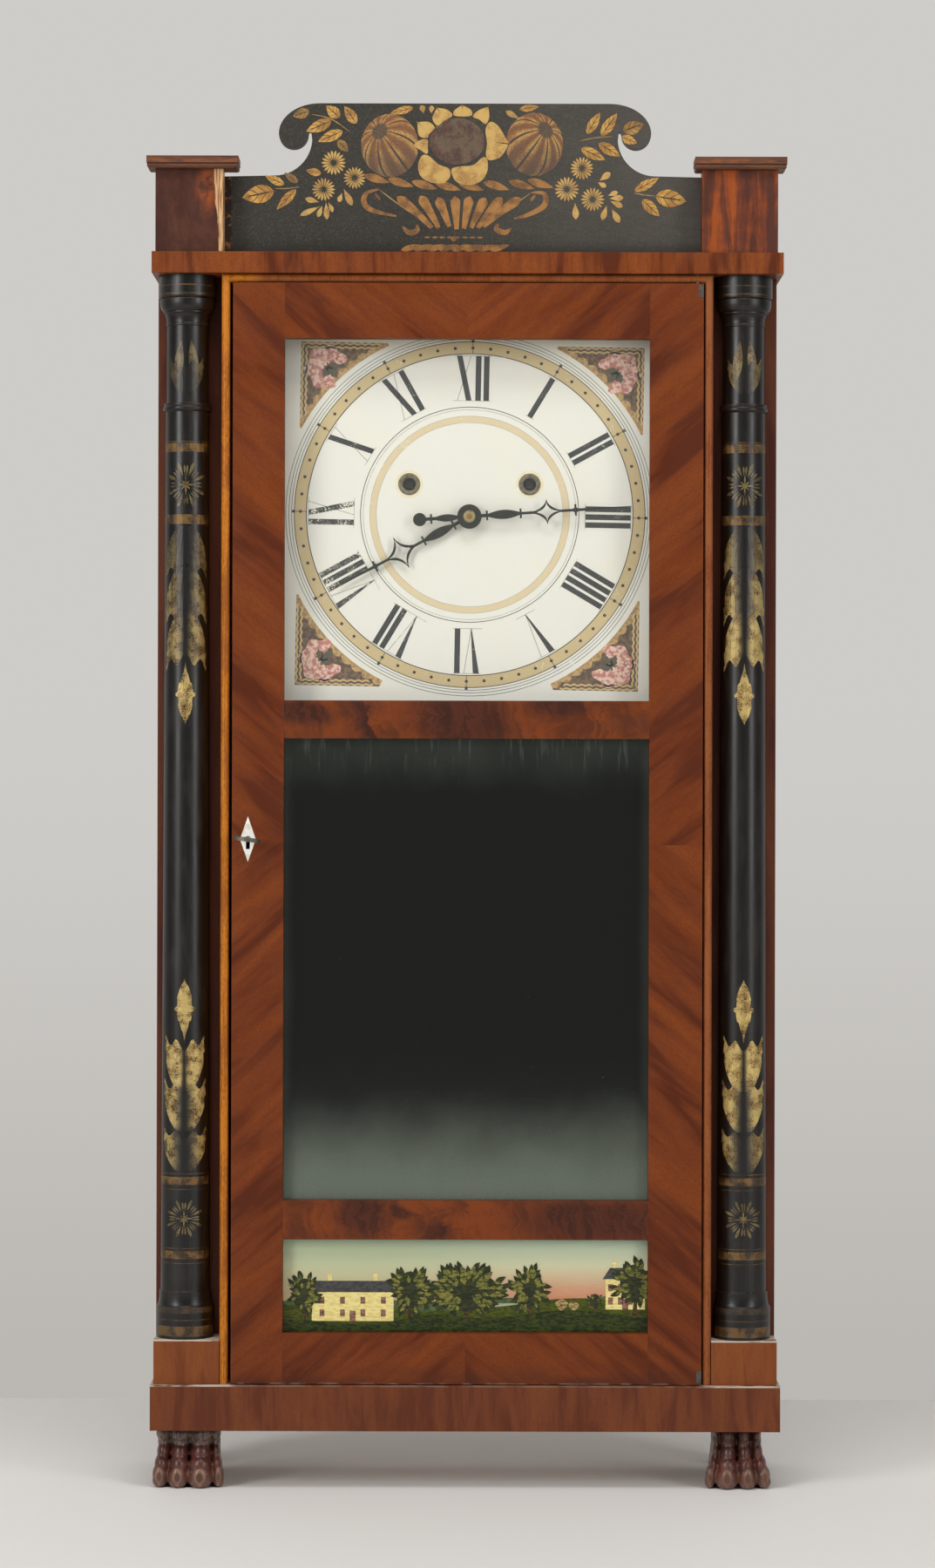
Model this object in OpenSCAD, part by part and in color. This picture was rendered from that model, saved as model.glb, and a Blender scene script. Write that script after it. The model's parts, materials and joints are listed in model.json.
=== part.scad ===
// Empire shelf clock with stencilled half columns, a shaped splat and paw feet.
// Front is -Y, up is +Z. The origin is on the floor, under the middle of the clock.
// Depths are counted from the front face of the base, towards the back (see in_case).

/* [Case] */
// Depth of the case, from the base's front face to the back
case_depth = 133; // [127:1:150]
// Width of each board behind a column
column_board_w = 49.3; // [48.5:0.1:56]
// Thickness of the boards behind the columns
column_board_t = 9; // [7:0.5:9]
// Depth of the face of those boards behind the base's front
column_board_face = 32; // [31:0.5:33]
// Thickness of the case sides
side_t = 12; // [8:0.5:14]
// Thickness of the backboard
back_t = 8; // [5:0.5:9]
// Thickness of the bottom board
bottom_t = 12; // [6:0.5:14]
// How far the base stands out past each side of the case
base_overhang = 1.6; // [0.5:0.1:6]
// Height of the base rails
base_h = 30; // [26:1:45]
// Thickness of the base rails
base_rail_t = 28; // [25:1:34]
// Height of the feet
foot_h = 40; // [36:1:50]
// Height of the top board
cornice_h = 14; // [12:0.5:24]
// How far the top board stands out past each side of the case
cornice_overhang = 2.2; // [0.5:0.1:6]

/* [Crest] */
// Height of the blocks on the top board
pedestal_h = 54.8; // [46:0.1:60]
// Width of the left block
pedestal_left_w = 44.6; // [42:0.1:50]
// Width of the right block
pedestal_right_w = 49.9; // [44:0.1:51]
// Thickness of a cap's upper slab
cap_slab_t = 4.6; // [3:0.1:7]
// Thickness of the moulding under that slab
cap_moulding_t = 3.2; // [2:0.1:5]
// Width of the caps
cap_w = 60.4; // [58:0.1:66]
// Height of the splat above the top board
splat_h = 101; // [95:1:120]
// Thickness of the splat
splat_t = 9; // [6:0.5:14]
// Depth of the splat's face behind the base's front
splat_face = 20; // [14:0.5:26]
// Radius of the splat's curled ends
curl_r = 9.8; // [7:0.2:11]

/* [Column] */
// Radius of the drums at both ends of a column
drum_r = 19; // [17:0.1:19.4]
// Radius at the foot of the shaft
shaft_foot_r = 16.4; // [15:0.1:17]
// Radius at the top of the shaft
shaft_top_r = 14.5; // [13:0.1:15.5]
// Height of the block under a column
plinth_h = 29.3; // [24:0.1:40]
// Depth of a column's axis behind the base's front
column_axis_depth = 23.5; // [22.5:0.1:24]

/* [Door] */
// Width of the stile that carries the lock
lock_stile_w = 34.1; // [32:0.1:42]
// Width of the stile that carries the hinges
hinge_stile_w = 35.3; // [33:0.1:42]
// Width of the three glazed openings
window_w = 240.6; // [238:0.1:250]
// Height of the bottom rail
bottom_rail_h = 33.6; // [28:0.1:40]
// Height of the tablet's opening
tablet_h = 61.7; // [50:0.1:80]
// Height of the rail over the tablet
lower_rail_h = 25.8; // [18:0.1:30]
// Height of the mirror's opening
mirror_h = 304.2; // [290:0.1:330]
// Height of the rail over the mirror
upper_rail_h = 25.1; // [18:0.1:30]
// Height of the dial's opening
dial_window_h = 238.5; // [234:0.1:246]
// Height of the top rail
top_rail_h = 36.6; // [30:0.1:44]
// Thickness of the door
door_t = 20; // [18:0.5:22]
// Depth of the door's face behind the base's front
door_face = 3; // [2:0.1:3.4]
// Depth of the glass behind the door's face
glass_depth = 8; // [6:0.5:9]
// Thickness of the panes
glass_t = 2; // [1.5:0.1:3]
// How far the panes run past each edge of their openings
rabbet_w = 6; // [3:0.5:7]
// Gap at the lock side of the door
lock_gap = 2; // [1.5:0.1:3]
// Gap at the hinge side of the door
hinge_gap = 0.8; // [0.7:0.1:1.5]
// Gap over and under the door
door_end_gap = 0.5; // [0.3:0.1:1.5]
// Width of the bead round the door
bead_w = 5.6; // [5:0.1:6.5]
// Distance of the hinge pins from the door's right edge
pin_inset = 4.1; // [3.6:0.1:4.1]
// Radius of the hinge pins
pin_r = 1.2; // [0.9:0.1:1.4]

/* [Lock] */
// Height of the lock over the foot of the door
lock_height = 358.8; // [330:0.1:380]
// Distance of the keyhole from the door's left edge
keyhole_inset = 10.6; // [10:0.1:11.5]
// Width of the bone diamond round the keyhole
diamond_w = 10.4; // [9:0.1:13]
// Height of the bone diamond
diamond_h = 30.2; // [26:0.1:36]
// Throw of the bolt
bolt_throw = 5; // [4:0.1:5.4]
// Radius of the key's shank
shank_r = 1.8; // [1.2:0.1:1.9]
// How far the key stands out in front of the base
key_reach = 18; // [14:1:26]
// Width of the key's bow
bow_w = 17.6; // [14:0.1:22]
// Tilt of the key's bow as it stands in the lock
key_tilt = 8; // [0:1:20]

/* [Dial and hands] */
// Offset of the dial's centre to the right of the case's middle
dial_x = 1.5; // [-2:0.1:2]
// Height of the dial's centre over the middle of its opening
dial_rise = 3.2; // [0:0.1:4]
// Thickness of the dial
dial_t = 6; // [4:0.5:6.4]
// Gap from the back of the door to the dial
dial_gap = 4; // [3.6:0.1:5]
// Radius of the winding holes in their bushes
wind_hole_r = 4.5; // [4:0.1:5.5]
// Length of the minute hand
minute_len = 107.5; // [96:0.5:110]
// Length of the hour hand
hour_len = 100; // [80:0.5:102]
// Angle of the minute hand past XII, clockwise
minute_angle = 86.3; // [0:0.1:360]
// Angle of the hour hand past XII, clockwise
hour_angle = 242.1; // [0:0.1:360]
// Thickness of the hands
hand_t = 1.2; // [0.8:0.1:1.4]

/* [Movement] */
// Depth of the front plate behind the base's front
plate_face = 61; // [61:0.5:63]
// Thickness of both plates
plate_t = 7; // [5:0.5:8]
// Gap between the plates
plate_gap = 34; // [34:0.5:37]
// Angle of the winding arbors over the level of the centre
wind_angle = 28.7; // [26:0.1:32]
// Tooth size of the great wheels
great_module = 1.2; // [1.15:0.01:1.25]
// Tooth size of the second wheels of both trains
second_module = 1.0; // [0.96:0.01:1.02]
// Tooth size of the third wheels of both trains
third_module = 0.9; // [0.86:0.01:0.92]
// Radius of the escape wheel
escape_r = 26; // [24:0.1:27]
// Teeth of the escape wheel
escape_teeth = 42; // [36:1:44]
// Swing of the pendulum to each side, in degrees
swing = 3; // [2:0.1:3]
// Length of the pendulum from its pivot to the middle of the bob
pendulum_len = 255; // [245:1:280]
// Radius of the bob
bob_r = 22; // [18:0.5:26]
// Radius of the drums' cores
drum_core_r = 13.4; // [11:0.1:14]
// Radius of the cords
cord_r = 1; // [0.7:0.1:1.2]
// Width of the weights
weight_w = 48; // [40:1:50]
// Depth of the weights
weight_depth = 40; // [32:1:42]
// Height of the weights
weight_h = 130; // [100:1:150]
// Radius of the bell
bell_r = 31; // [27:0.5:32]

/* [Fits] */
// Radial clearance of arbors and pins in their holes
run_fit = 0.08; // [0.04:0.01:0.1]
// Gap round the panes in their rabbets, and round the lock and bolt
seat_gap = 0.3; // [0.2:0.05:0.5]
// Gap between a cord and the drum or pulley it lies on
cord_gap = 0.3; // [0.2:0.05:0.5]
// Gap between a weight at rest and the bottom board
weight_gap = 0.3; // [0.2:0.1:1]

/* [Hidden] */
$fn = 64;

// ---- places worked out from the sizes above ----
front_y = -(case_depth - key_reach) / 2;
door_w = lock_stile_w + window_w + hinge_stile_w;
opening_w = door_w + lock_gap + hinge_gap;
opening_x = opening_w / 2;
case_x = opening_x + column_board_w;
door_x0 = -opening_x + lock_gap;
door_x1 = opening_x - hinge_gap;
window_x0 = door_x0 + lock_stile_w;
window_x1 = door_x1 - hinge_stile_w;
base_top = foot_h + base_h;
door_z0 = base_top + door_end_gap;
tablet_z0 = door_z0 + bottom_rail_h;
tablet_z1 = tablet_z0 + tablet_h;
mirror_z0 = tablet_z1 + lower_rail_h;
mirror_z1 = mirror_z0 + mirror_h;
dial_z0 = mirror_z1 + upper_rail_h;
dial_z1 = dial_z0 + dial_window_h;
door_z1 = dial_z1 + top_rail_h;
bead_z1 = door_z1 + door_end_gap + bead_w;
cornice_z0 = bead_z1;
cornice_z1 = cornice_z0 + cornice_h;
pedestal_z1 = cornice_z1 + pedestal_h;
door_back = door_face + door_t;
glass_face = door_face + glass_depth;
back_face = case_depth - back_t;
side_depth0 = column_board_face + column_board_t;
bead_face = door_face + 0.5;
bead_x = opening_x + bead_w;

// crest
pedestal_face = 3;
cap_overhang = 5.6;
right_setback = 1.4;
splat_lap = 14;

// columns
left_column_x = (bead_x + case_x) / 2 + 1.8;
right_column_x = (bead_x + case_x) / 2 - 0.6;
plinth_face = 4;
plinth_x1 = case_x - 0.4;
column_z0 = base_top + plinth_h;
column_z1 = cornice_z0;
column_h = column_z1 - column_z0;

// dial, hands and motion work, as depths behind the base's front
dial_z = (dial_z0 + dial_z1) / 2 + dial_rise;
dial_face = door_back + dial_gap;
dial_back = dial_face + dial_t;
dial_margin = 8;
dial_rail_w = 15;
dial_rail_t = 12;
dial_half_w = opening_x - 8;
wind_bush_r = 7;
pipe_hole_r = 6;
pipe_r = 5;
hour_hand_y = dial_face - 4;
minute_hand_y = dial_face - 7;
nut_y = minute_hand_y - 2.5;
nut_r = 4;
arbor_tip_r = 1.6;
arbor_tip_y = nut_y - 1;
minute_boss_r = 8.1;
hour_boss_r = 7.4;

// depths of the wheels' planes
wheel_t = 4;
hour_plane = plate_face - 25;
motion_plane = plate_face - 20;
rod_plane = plate_face - 14.5;
crutch_plane = plate_face - 12;
escape_plane = plate_face - 10;
count_plane = plate_face - 5;
motion_t = 3;
escape_t = 1.4;
plate_back = plate_face + plate_t;
centre_plane = plate_back + 1.5;
third_plane = plate_back + 7.5;
drum_plane = plate_back + 13.5;
drum_len = 11.5;
ratchet_t = 1.8;
great_plane = plate_back + 27.5;
great_t = 5;
rear_plate_face = plate_back + plate_gap;
rear_plate_back = rear_plate_face + plate_t;
drum_mid = drum_plane + drum_len / 2;

// teeth
great_teeth = 64;
strike_great_teeth = 60;
centre_pinion_teeth = 12;
centre_teeth = 72;
small_pinion_teeth = 8;
third_teeth = 76;
cannon_teeth = 12;
motion_teeth = 36;
motion_module = 1.0;
motion_pinion_teeth = 10;
hour_teeth = 40;
pin_teeth = 60;
locking_teeth = 56;
count_pinion_teeth = 10;
count_teeth = 60;
count_module = 0.8;
ratchet_teeth = 24;
ratchet_cut = 1.6;

function apart(teeth_a, teeth_b, size) = size * (teeth_a + teeth_b) / 2;
function polar(r, a) = [r * cos(a), r * sin(a)];
function bearing(from, to) = atan2(to[1] - from[1], to[0] - from[0]);

// arbors in front view, measured from the centre arbor
wind_dist = apart(great_teeth, centre_pinion_teeth, great_module);
centre_at = [0, 0];
time_at = polar(wind_dist, wind_angle);
strike_at = polar(wind_dist, 180 - wind_angle);
third_at = [0, apart(centre_teeth, small_pinion_teeth, second_module)];
escape_dist = apart(third_teeth, small_pinion_teeth, third_module);
pendulum_x = -14;
escape_at = [pendulum_x, third_at[1] + sqrt(pow(escape_dist, 2) - pow(pendulum_x, 2))];
motion_dist = apart(cannon_teeth, motion_teeth, motion_module);
motion_angle = -45;
motion_at = polar(motion_dist, motion_angle);
hour_module = 2 * motion_dist / (hour_teeth + motion_pinion_teeth);
pin_angle = -106.1;
pin_at = strike_at + polar(apart(strike_great_teeth, small_pinion_teeth, great_module),
    pin_angle);
locking_angle = -75;
locking_at = pin_at + polar(apart(pin_teeth, small_pinion_teeth, second_module), locking_angle);
fly_angle = -6;
fly_at = locking_at + polar(apart(locking_teeth, small_pinion_teeth, third_module), fly_angle);
count_angle = 126.9;
count_at = pin_at + polar(apart(count_pinion_teeth, count_teeth, count_module), count_angle);

// verge and pendulum
verge_half_span = 32;
verge_at = escape_at + [0, escape_r / cos(verge_half_span)];
hang_rise = 14;
hang_at = verge_at + [0, hang_rise];
crutch_len = 44;
crutch_ratio = (crutch_len + hang_rise) / crutch_len;
pallet_lift = escape_r * tan(verge_half_span) * sin(swing * crutch_ratio);
verge_in_r = escape_r + pallet_lift + 0.5;
verge_strip_t = 1.6;
rod_r = 1;
bob_at = hang_at - [0, pendulum_len];
bob_t = 9;

// arbors and pins
centre_arbor_r = 2.5;
wind_arbor_r = 3.5;
thin_arbor_r = 1.5;
pin_arbor_r = 2;
stud_r = 2;
verge_pin_r = 1.5;
wind_square = 5;
wind_square_y = dial_face + 3;
wind_round_y = plate_face - 9;

// plates
plate_edge = 8;
plate_half_w = 92;
plate_top = hang_at[1] + plate_edge;
plate_bottom = locking_at[1] - third_module * locking_teeth / 2 - plate_edge;
pillar_r = 6;
pillar_inset = 8;

// strike work
pin_circle_r = 19.5;
pin_stick_r = 1;
pin_count = 10;
hammer_angle = -106.6;
hammer_at = pin_at + polar(second_module * pin_teeth / 2 + 4.9, hammer_angle);
hammer_plane = rear_plate_face - 4;
tail_plane = third_plane + wheel_t + 0.9;
tail_t = 3;
hammer_boss_r = 4;
hammer_wire_r = 1.2;
bell_depth = 18;
bell_plane = hammer_plane - 12;
bell_wall = 2;
bell_at = [hammer_at[0] + bell_r + 1, plate_bottom - bell_r - 8];
bell_post_r = 3;
head_r = 4.5;
head_len = 10;
head_at = [bell_at[0] - bell_r - 1.4 - head_len / 2, bell_at[1] + 5];

// drums, pulleys, cords and weights
flange_r = 19;
flange_t = 1.5;
cord_wind_r = drum_core_r + cord_gap + cord_r;
pulley_groove_r = 12.5;
pulley_run_r = pulley_groove_r + cord_gap + cord_r;
pulley_r = 15;
pulley_t = 5;
pulley_x = 150;
pulley_z = cornice_z0 - pulley_r - 3;
pulley_pin_r = 2;
bracket_w = 20;
bracket_wall = 4;
bracket_drop = 12;
weight_x = pulley_x + pulley_run_r;
bottom_z1 = base_top + bottom_t;
weight_z0 = bottom_z1 + weight_gap;
hook_h = 16;
hook_r = 5;
weight_top = weight_z0 + weight_h + hook_h;

// ---- shared shapes ----

// Moves what is drawn in depths behind the base's front into the clock's own frame
module in_case() {
    translate([0, front_y, 0]) children();
}

// The same, with x and z counted from the centre arbor
module in_movement() {
    translate([dial_x, front_y, dial_z]) children();
}

// A box between two corners
module block(x0, x1, y0, y1, z0, z1) {
    translate([x0, y0, z0]) cube([x1 - x0, y1 - y0, z1 - z0]);
}

// Raises a front-view outline into a plate from depth y to y + t
module plate(y, t) {
    translate([0, y + t, 0]) rotate([90, 0, 0]) linear_extrude(t) children();
}

// A round bar along the depth, at a place in front view
module bar(at, y0, y1, r) {
    translate([at[0], y1, at[1]]) rotate([90, 0, 0]) cylinder(r = r, h = y1 - y0);
}

// Turns a half profile, drawn as radius and depth, round an arbor
module turned(at, y) {
    translate([at[0], y, at[1]]) rotate([-90, 0, 0]) rotate_extrude() children();
}

// Points of an arc in an outline, round a centre, with its own width and height
function arc(c, rx, rz, a0, a1, n) = [for (i = [0:n]) let (a = a0 + (a1 - a0) * i / n)
    [c[0] + rx * cos(a), c[1] + rz * sin(a)]];

// Outline of a toothed wheel, with one tooth on the x axis. The teeth are cut slim,
// so that a pair in mesh never bears on both flanks.
tooth_tip = 0.7;
tooth_root = 1.15;
function tooth_points(teeth, size) = let (r = teeth * size / 2, step = 360 / teeth)
    [for (i = [0:teeth - 1]) for (k = [[-0.25, -tooth_root], [-0.1, tooth_tip],
        [0.1, tooth_tip], [0.25, -tooth_root]])
        polar(r + k[1] * size, step * (i + k[0]))];

// A toothed wheel at a place, with a tooth (or a gap) pointing along an angle
module gear(at, y, t, teeth, size, toward, gap) {
    translate([at[0], 0, at[1]]) plate(y, t)
        rotate(toward + (gap ? 180 / teeth : 0)) polygon(tooth_points(teeth, size));
}

// ---- case ----

module backboard() {
    color("peru") in_case() block(-case_x, case_x, back_face, case_depth, base_top, cornice_z0);
}

module case_sides() {
    color("saddlebrown") in_case() {
        block(-case_x, -case_x + side_t, side_depth0, back_face, base_top, cornice_z0);
        block(case_x - side_t, case_x, side_depth0, back_face, base_top, cornice_z0);
    }
}

module top_board() {
    half_w = case_x + cornice_overhang;
    color("sienna") in_case() difference() {
        block(-half_w, half_w, 0, case_depth, cornice_z0, cornice_z1);
        hinge_bar(cornice_z0 - 1, cornice_z0 + pin_grip, pin_r);
    }
}

module bottom_board() {
    color("burlywood") in_case() translate([0, 0, base_top]) linear_extrude(bottom_t)
        polygon([[-opening_x, door_back + 1], [opening_x, door_back + 1],
            [opening_x, side_depth0], [case_x - side_t, side_depth0],
            [case_x - side_t, back_face], [side_t - case_x, back_face],
            [side_t - case_x, side_depth0], [-opening_x, side_depth0]]);
}

module base_rails() {
    half_w = case_x + base_overhang;
    color("sienna") in_case() {
        difference() {
            block(-half_w, half_w, 0, base_rail_t, foot_h, base_top);
            hinge_bar(base_top - pin_grip, base_top + 1, pin_r);
        }
        block(-half_w, -half_w + base_rail_t, base_rail_t, case_depth, foot_h, base_top);
        block(half_w - base_rail_t, half_w, base_rail_t, case_depth, foot_h, base_top);
    }
}

module column_boards() {
    color("sienna") in_case() for (side = [-1, 1])
        block(min(side * opening_x, side * case_x), max(side * opening_x, side * case_x),
            column_board_face, side_depth0, base_top, cornice_z0);
}

module plinth_blocks() {
    color("sienna") in_case() for (side = [-1, 1])
        block(min(side * bead_x, side * plinth_x1), max(side * bead_x, side * plinth_x1),
            plinth_face, column_board_face, base_top, column_z0);
}

// ---- columns ----

base_drum_h = 21.4;
top_drum_h = 14.7;
cove_h = 9;
ovolo_r = 18.4;
ovolo_h = 9.2;
cavetto_h = 8.6;
neck_h = 51.4;
ring_r = 16.2;
ring_h = 5.4;
fillet_h = 0.8;
neck_r = shaft_top_r - 0.6;
seat_r = shaft_foot_r + 0.8;
collar_r = neck_r + 2.3;

// A base drum with a cove over it, up to the foot of the shaft
function base_profile(cove_z) = concat(
    [[0, 0], [drum_r, 0], [drum_r, base_drum_h - 0.6]],
    arc([drum_r - 0.3, cove_z], drum_r - 0.3 - seat_r, cove_h, 270, 180, 6),
    [[seat_r, cove_z + fillet_h], [shaft_foot_r, cove_z + fillet_h + 0.3]]);

// The ring at the top of the shaft, with a flat lip over it
function ring_profile(z) = concat(
    arc([ring_r - 1.6, z + 2], 1.6, 2, -90, 60, 5),
    [[ring_r - 0.6, z + ring_h - 1], [ring_r - 0.6, z + ring_h], [neck_r, z + ring_h]]);

// A bead and cavetto over the neck, and an ovolo under the top drum
function capital_profile(cavetto_z, drum_z) = let (ovolo_z = drum_z - ovolo_h)
    concat([[neck_r, cavetto_z], [neck_r + 0.6, cavetto_z + 0.2], [neck_r + 0.6, cavetto_z + 1.4]],
        arc([collar_r, cavetto_z + 1.6], collar_r - neck_r - 0.3, cavetto_h - 1.6, 180, 90, 5),
        [[collar_r, ovolo_z]],
        arc([ovolo_r - 2.8, ovolo_z + 6.7], 2.8, 6.7, -90, 0, 6),
        [[ovolo_r, drum_z - 0.9], [ovolo_r - 0.7, drum_z - 0.3], [ovolo_r - 0.7, drum_z],
            [drum_r - 0.4, drum_z], [drum_r, drum_z + 0.5]]);

// Half profile of a column, as radius and height over the plinth
function column_profile(h) = let (
        drum_z = h - top_drum_h,
        cavetto_z = drum_z - ovolo_h - fillet_h - cavetto_h,
        ring_z = cavetto_z - neck_h - ring_h)
    concat(base_profile(base_drum_h + cove_h), [[shaft_top_r, ring_z]], ring_profile(ring_z),
        capital_profile(cavetto_z, drum_z), [[drum_r, h], [0, h]]);

// A column with its back planed flat against its board
module column(x) {
    in_case() intersection() {
        translate([x, column_axis_depth, column_z0]) rotate_extrude()
            polygon(column_profile(column_h));
        block(x - 2 * drum_r, x + 2 * drum_r, column_axis_depth - 2 * drum_r,
            column_board_face, column_z0, column_z1);
    }
}

module left_column() {
    color("black") column(-left_column_x);
}

module right_column() {
    color("black") column(right_column_x);
}

// ---- bead round the door ----

bead_round_r = bead_w / 2;

// Plan of a bead strip, with its rounded nose forward
module bead_plan() {
    translate([0, bead_face + bead_round_r]) circle(r = bead_round_r);
    translate([-bead_round_r, bead_face + bead_round_r])
        square([bead_w, column_board_face - bead_face - bead_round_r]);
}

// The upright strip on one side, mitred at its top
module bead_upright(side) {
    inner = side * opening_x;
    outer = side * bead_x;
    intersection() {
        translate([(inner + outer) / 2, 0, base_top])
            linear_extrude(cornice_z0 - base_top) bead_plan();
        plate(0, case_depth) polygon([[inner, base_top], [outer, base_top],
            [outer, cornice_z0], [inner, cornice_z0 - bead_w]]);
    }
}

module bead_top() {
    intersection() {
        translate([-bead_x, 0, cornice_z0 - bead_w / 2]) rotate([90, 0, 90])
            linear_extrude(2 * bead_x) bead_lying();
        plate(0, case_depth) polygon([[-opening_x, cornice_z0 - bead_w],
            [opening_x, cornice_z0 - bead_w], [bead_x, cornice_z0], [-bead_x, cornice_z0]]);
    }
}

// The same plan, turned to lie along x: depth to the right, height up
module bead_lying() {
    translate([bead_face + bead_round_r, 0]) circle(r = bead_round_r);
    translate([bead_face + bead_round_r, -bead_round_r])
        square([column_board_face - bead_face - bead_round_r, bead_w]);
}

module door_bead() {
    color("chocolate") in_case() {
        difference() {
            bead_upright(-1);
            bolt_room(-opening_x - bolt_throw + lock_gap - seat_gap, -opening_x + 1);
        }
        bead_upright(1);
        difference() {
            bead_top();
            hinge_bar(cornice_z0 - bead_w - 1, cornice_z0 + 1, pin_r);
        }
    }
}

// ---- crest ----

left_inner_x = -case_x + pedestal_left_w;
right_outer_x = case_x - right_setback;
right_inner_x = right_outer_x - pedestal_right_w;

module pedestals() {
    color("sienna") in_case() {
        block(-case_x, left_inner_x, pedestal_face, splat_face, cornice_z1, pedestal_z1);
        block(right_inner_x, right_outer_x, pedestal_face, splat_face, cornice_z1, pedestal_z1);
    }
}

// A cap: a slab on a moulding that is rounded underneath
module cap(x0) {
    moulding = 0.4;
    depth = splat_face + 1 - pedestal_face + cap_overhang;
    translate([x0, pedestal_face - cap_overhang, pedestal_z1]) {
        hull() {
            translate([moulding + 1, moulding + 1, 0])
                cube([cap_w - 2 * moulding - 2, depth - moulding - 2, cap_moulding_t]);
            translate([moulding, moulding, 1])
                cube([cap_w - 2 * moulding, depth - moulding, cap_moulding_t - 1]);
        }
        translate([0, 0, cap_moulding_t]) cube([cap_w, depth, cap_slab_t]);
    }
}

module pedestal_caps() {
    color("saddlebrown") in_case() {
        cap(-case_x - cap_overhang);
        cap(right_outer_x + cap_overhang - cap_w);
    }
}

splat_x0 = left_inner_x - splat_lap;
splat_x1 = right_inner_x + splat_lap;
splat_x = -2;
curl_x = 113.6;
curl_z = splat_h - 20;
sweep_r = 25;
sweep_x = 126.2;
sweep_z = curl_z - 3;

// Right half of the splat's outline, from the middle of its top to its lower end
function splat_edge(end_x) = concat(
    arc([curl_x - 17.6, curl_z], 17.6 + curl_r, splat_h - curl_z, 90, 0, 12),
    arc([curl_x, curl_z], curl_r, curl_r, -15, -165, 12),
    arc([curl_x - curl_r - 1, curl_z], 1, 1.6, 0, 180, 6),
    arc([sweep_x, sweep_z], sweep_r, sweep_r, 184, 270, 12),
    [[end_x, sweep_z - sweep_r - 1], [end_x, 0]]);

module splat() {
    right_half = splat_edge(splat_x1 - splat_x);
    left_half = splat_edge(splat_x - splat_x0);
    outline = concat(right_half, [for (i = [len(left_half) - 1:-1:0])
        [-left_half[i][0], left_half[i][1]]]);
    color("dimgray") in_case() translate([splat_x, 0, cornice_z1])
        plate(splat_face, splat_t) polygon(outline);
}

// ---- feet ----

// A toe, bent over its knuckle and flat underneath
module toe(x, y, lean, r) {
    hull() {
        translate([x, y + 8, foot_h - 5]) sphere(r = r * 0.78, $fn = 12);
        translate([x + lean * 0.6, y + 3, foot_h * 0.45]) sphere(r = r * 0.9, $fn = 12);
        translate([x + lean, y, r * 0.8]) sphere(r = r, $fn = 12);
        translate([x + lean - r * 0.7, y - r * 0.6, 0]) cube([r * 1.4, r * 1.8, 1]);
    }
}

// A front foot: a block with four carved toes and a flat sole
module paw(x, half_top, half_sole) {
    depth = 46;
    toe_r = half_sole / 4.1;
    intersection() {
        union() {
            for (k = [-1.5, -0.5, 0.5, 1.5])
                toe(x + k * half_top / 2.1, 11 + abs(k) * 2.4,
                    k * (half_sole - half_top) / 1.8, toe_r);
            translate([x, 0, 0]) plate(14, depth - 13)
                polygon([[-half_sole * 0.9, 0], [half_sole * 0.9, 0],
                    [half_top * 0.96, foot_h * 0.6], [half_top * 0.96, foot_h],
                    [-half_top * 0.96, foot_h], [-half_top * 0.96, foot_h * 0.6]]);
        }
        block(x - half_sole, x + half_sole, 1, 1 + depth, 0, foot_h);
    }
}

module paw_feet() {
    color("#5a2c22") in_case() {
        paw(-case_x + 21.6, 20.6, 23.4);
        paw(case_x - 24.4, 17.2, 21.8);
    }
}

rear_foot_r = 17;

module rear_feet() {
    color("#5a2c22") in_case() for (side = [-1, 1])
        translate([side * (case_x - rear_foot_r - 3), case_depth - rear_foot_r - 4, 0])
            rotate_extrude() polygon(concat([[0, 0], [rear_foot_r * 0.6, 0]],
                arc([rear_foot_r * 0.6, foot_h * 0.45], rear_foot_r * 0.4, foot_h * 0.4,
                    -60, 90, 10),
                [[rear_foot_r * 0.6, foot_h * 0.88], [rear_foot_r * 0.8, foot_h * 0.9],
                    [rear_foot_r * 0.8, foot_h], [0, foot_h]]));
}

// ---- inside of the case ----

module inner_rails() {
    movement_rail_x = plate_half_w - 14;
    color("burlywood") in_case() {
        for (side = [-1, 1]) {
            outer = side * opening_x;
            inner = side * (opening_x - dial_rail_w);
            block(min(inner, outer), max(inner, outer), dial_back,
                max(dial_back + dial_rail_t, side_depth0), dial_z0 - 20, cornice_z0 - 12);
        }
        for (side = [-1, 1])
            translate([dial_x + side * (movement_rail_x + 7) - 7, rear_plate_back,
                dial_z + plate_bottom - 10])
                cube([14, back_face - rear_plate_back, plate_top - plate_bottom + 20]);
    }
}

module dial_board() {
    color("ivory") in_case() difference() {
        block(-dial_half_w, dial_half_w, dial_face, dial_back,
            dial_z0 - dial_margin, dial_z1 + dial_margin);
        translate([dial_x, 0, dial_z]) {
            bar(centre_at, dial_face - 1, dial_back + 1, pipe_hole_r);
            bar(time_at, dial_face - 1, dial_back + 1, wind_bush_r);
            bar(strike_at, dial_face - 1, dial_back + 1, wind_bush_r);
        }
    }
    color("saddlebrown") in_movement() for (at = [time_at, strike_at]) difference() {
        bar(at, dial_face - 0.4, dial_back, wind_bush_r);
        bar(at, dial_face - 1, dial_back + 1, wind_hole_r);
    }
}

// Each arbor that runs through both plates, with its radius
arbors = [[time_at, wind_arbor_r], [strike_at, wind_arbor_r], [centre_at, centre_arbor_r],
    [third_at, thin_arbor_r], [escape_at, thin_arbor_r], [pin_at, pin_arbor_r],
    [locking_at, thin_arbor_r], [fly_at, thin_arbor_r]];

// Each stud of the front plate, with the depth of its tip and its radius
front_studs = [[motion_at, hour_plane - 1.5, stud_r], [count_at, count_plane - 1, stud_r],
    [verge_at, crutch_plane - 1.1, verge_pin_r], [hang_at, rod_plane - 2.5, verge_pin_r]];

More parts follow.
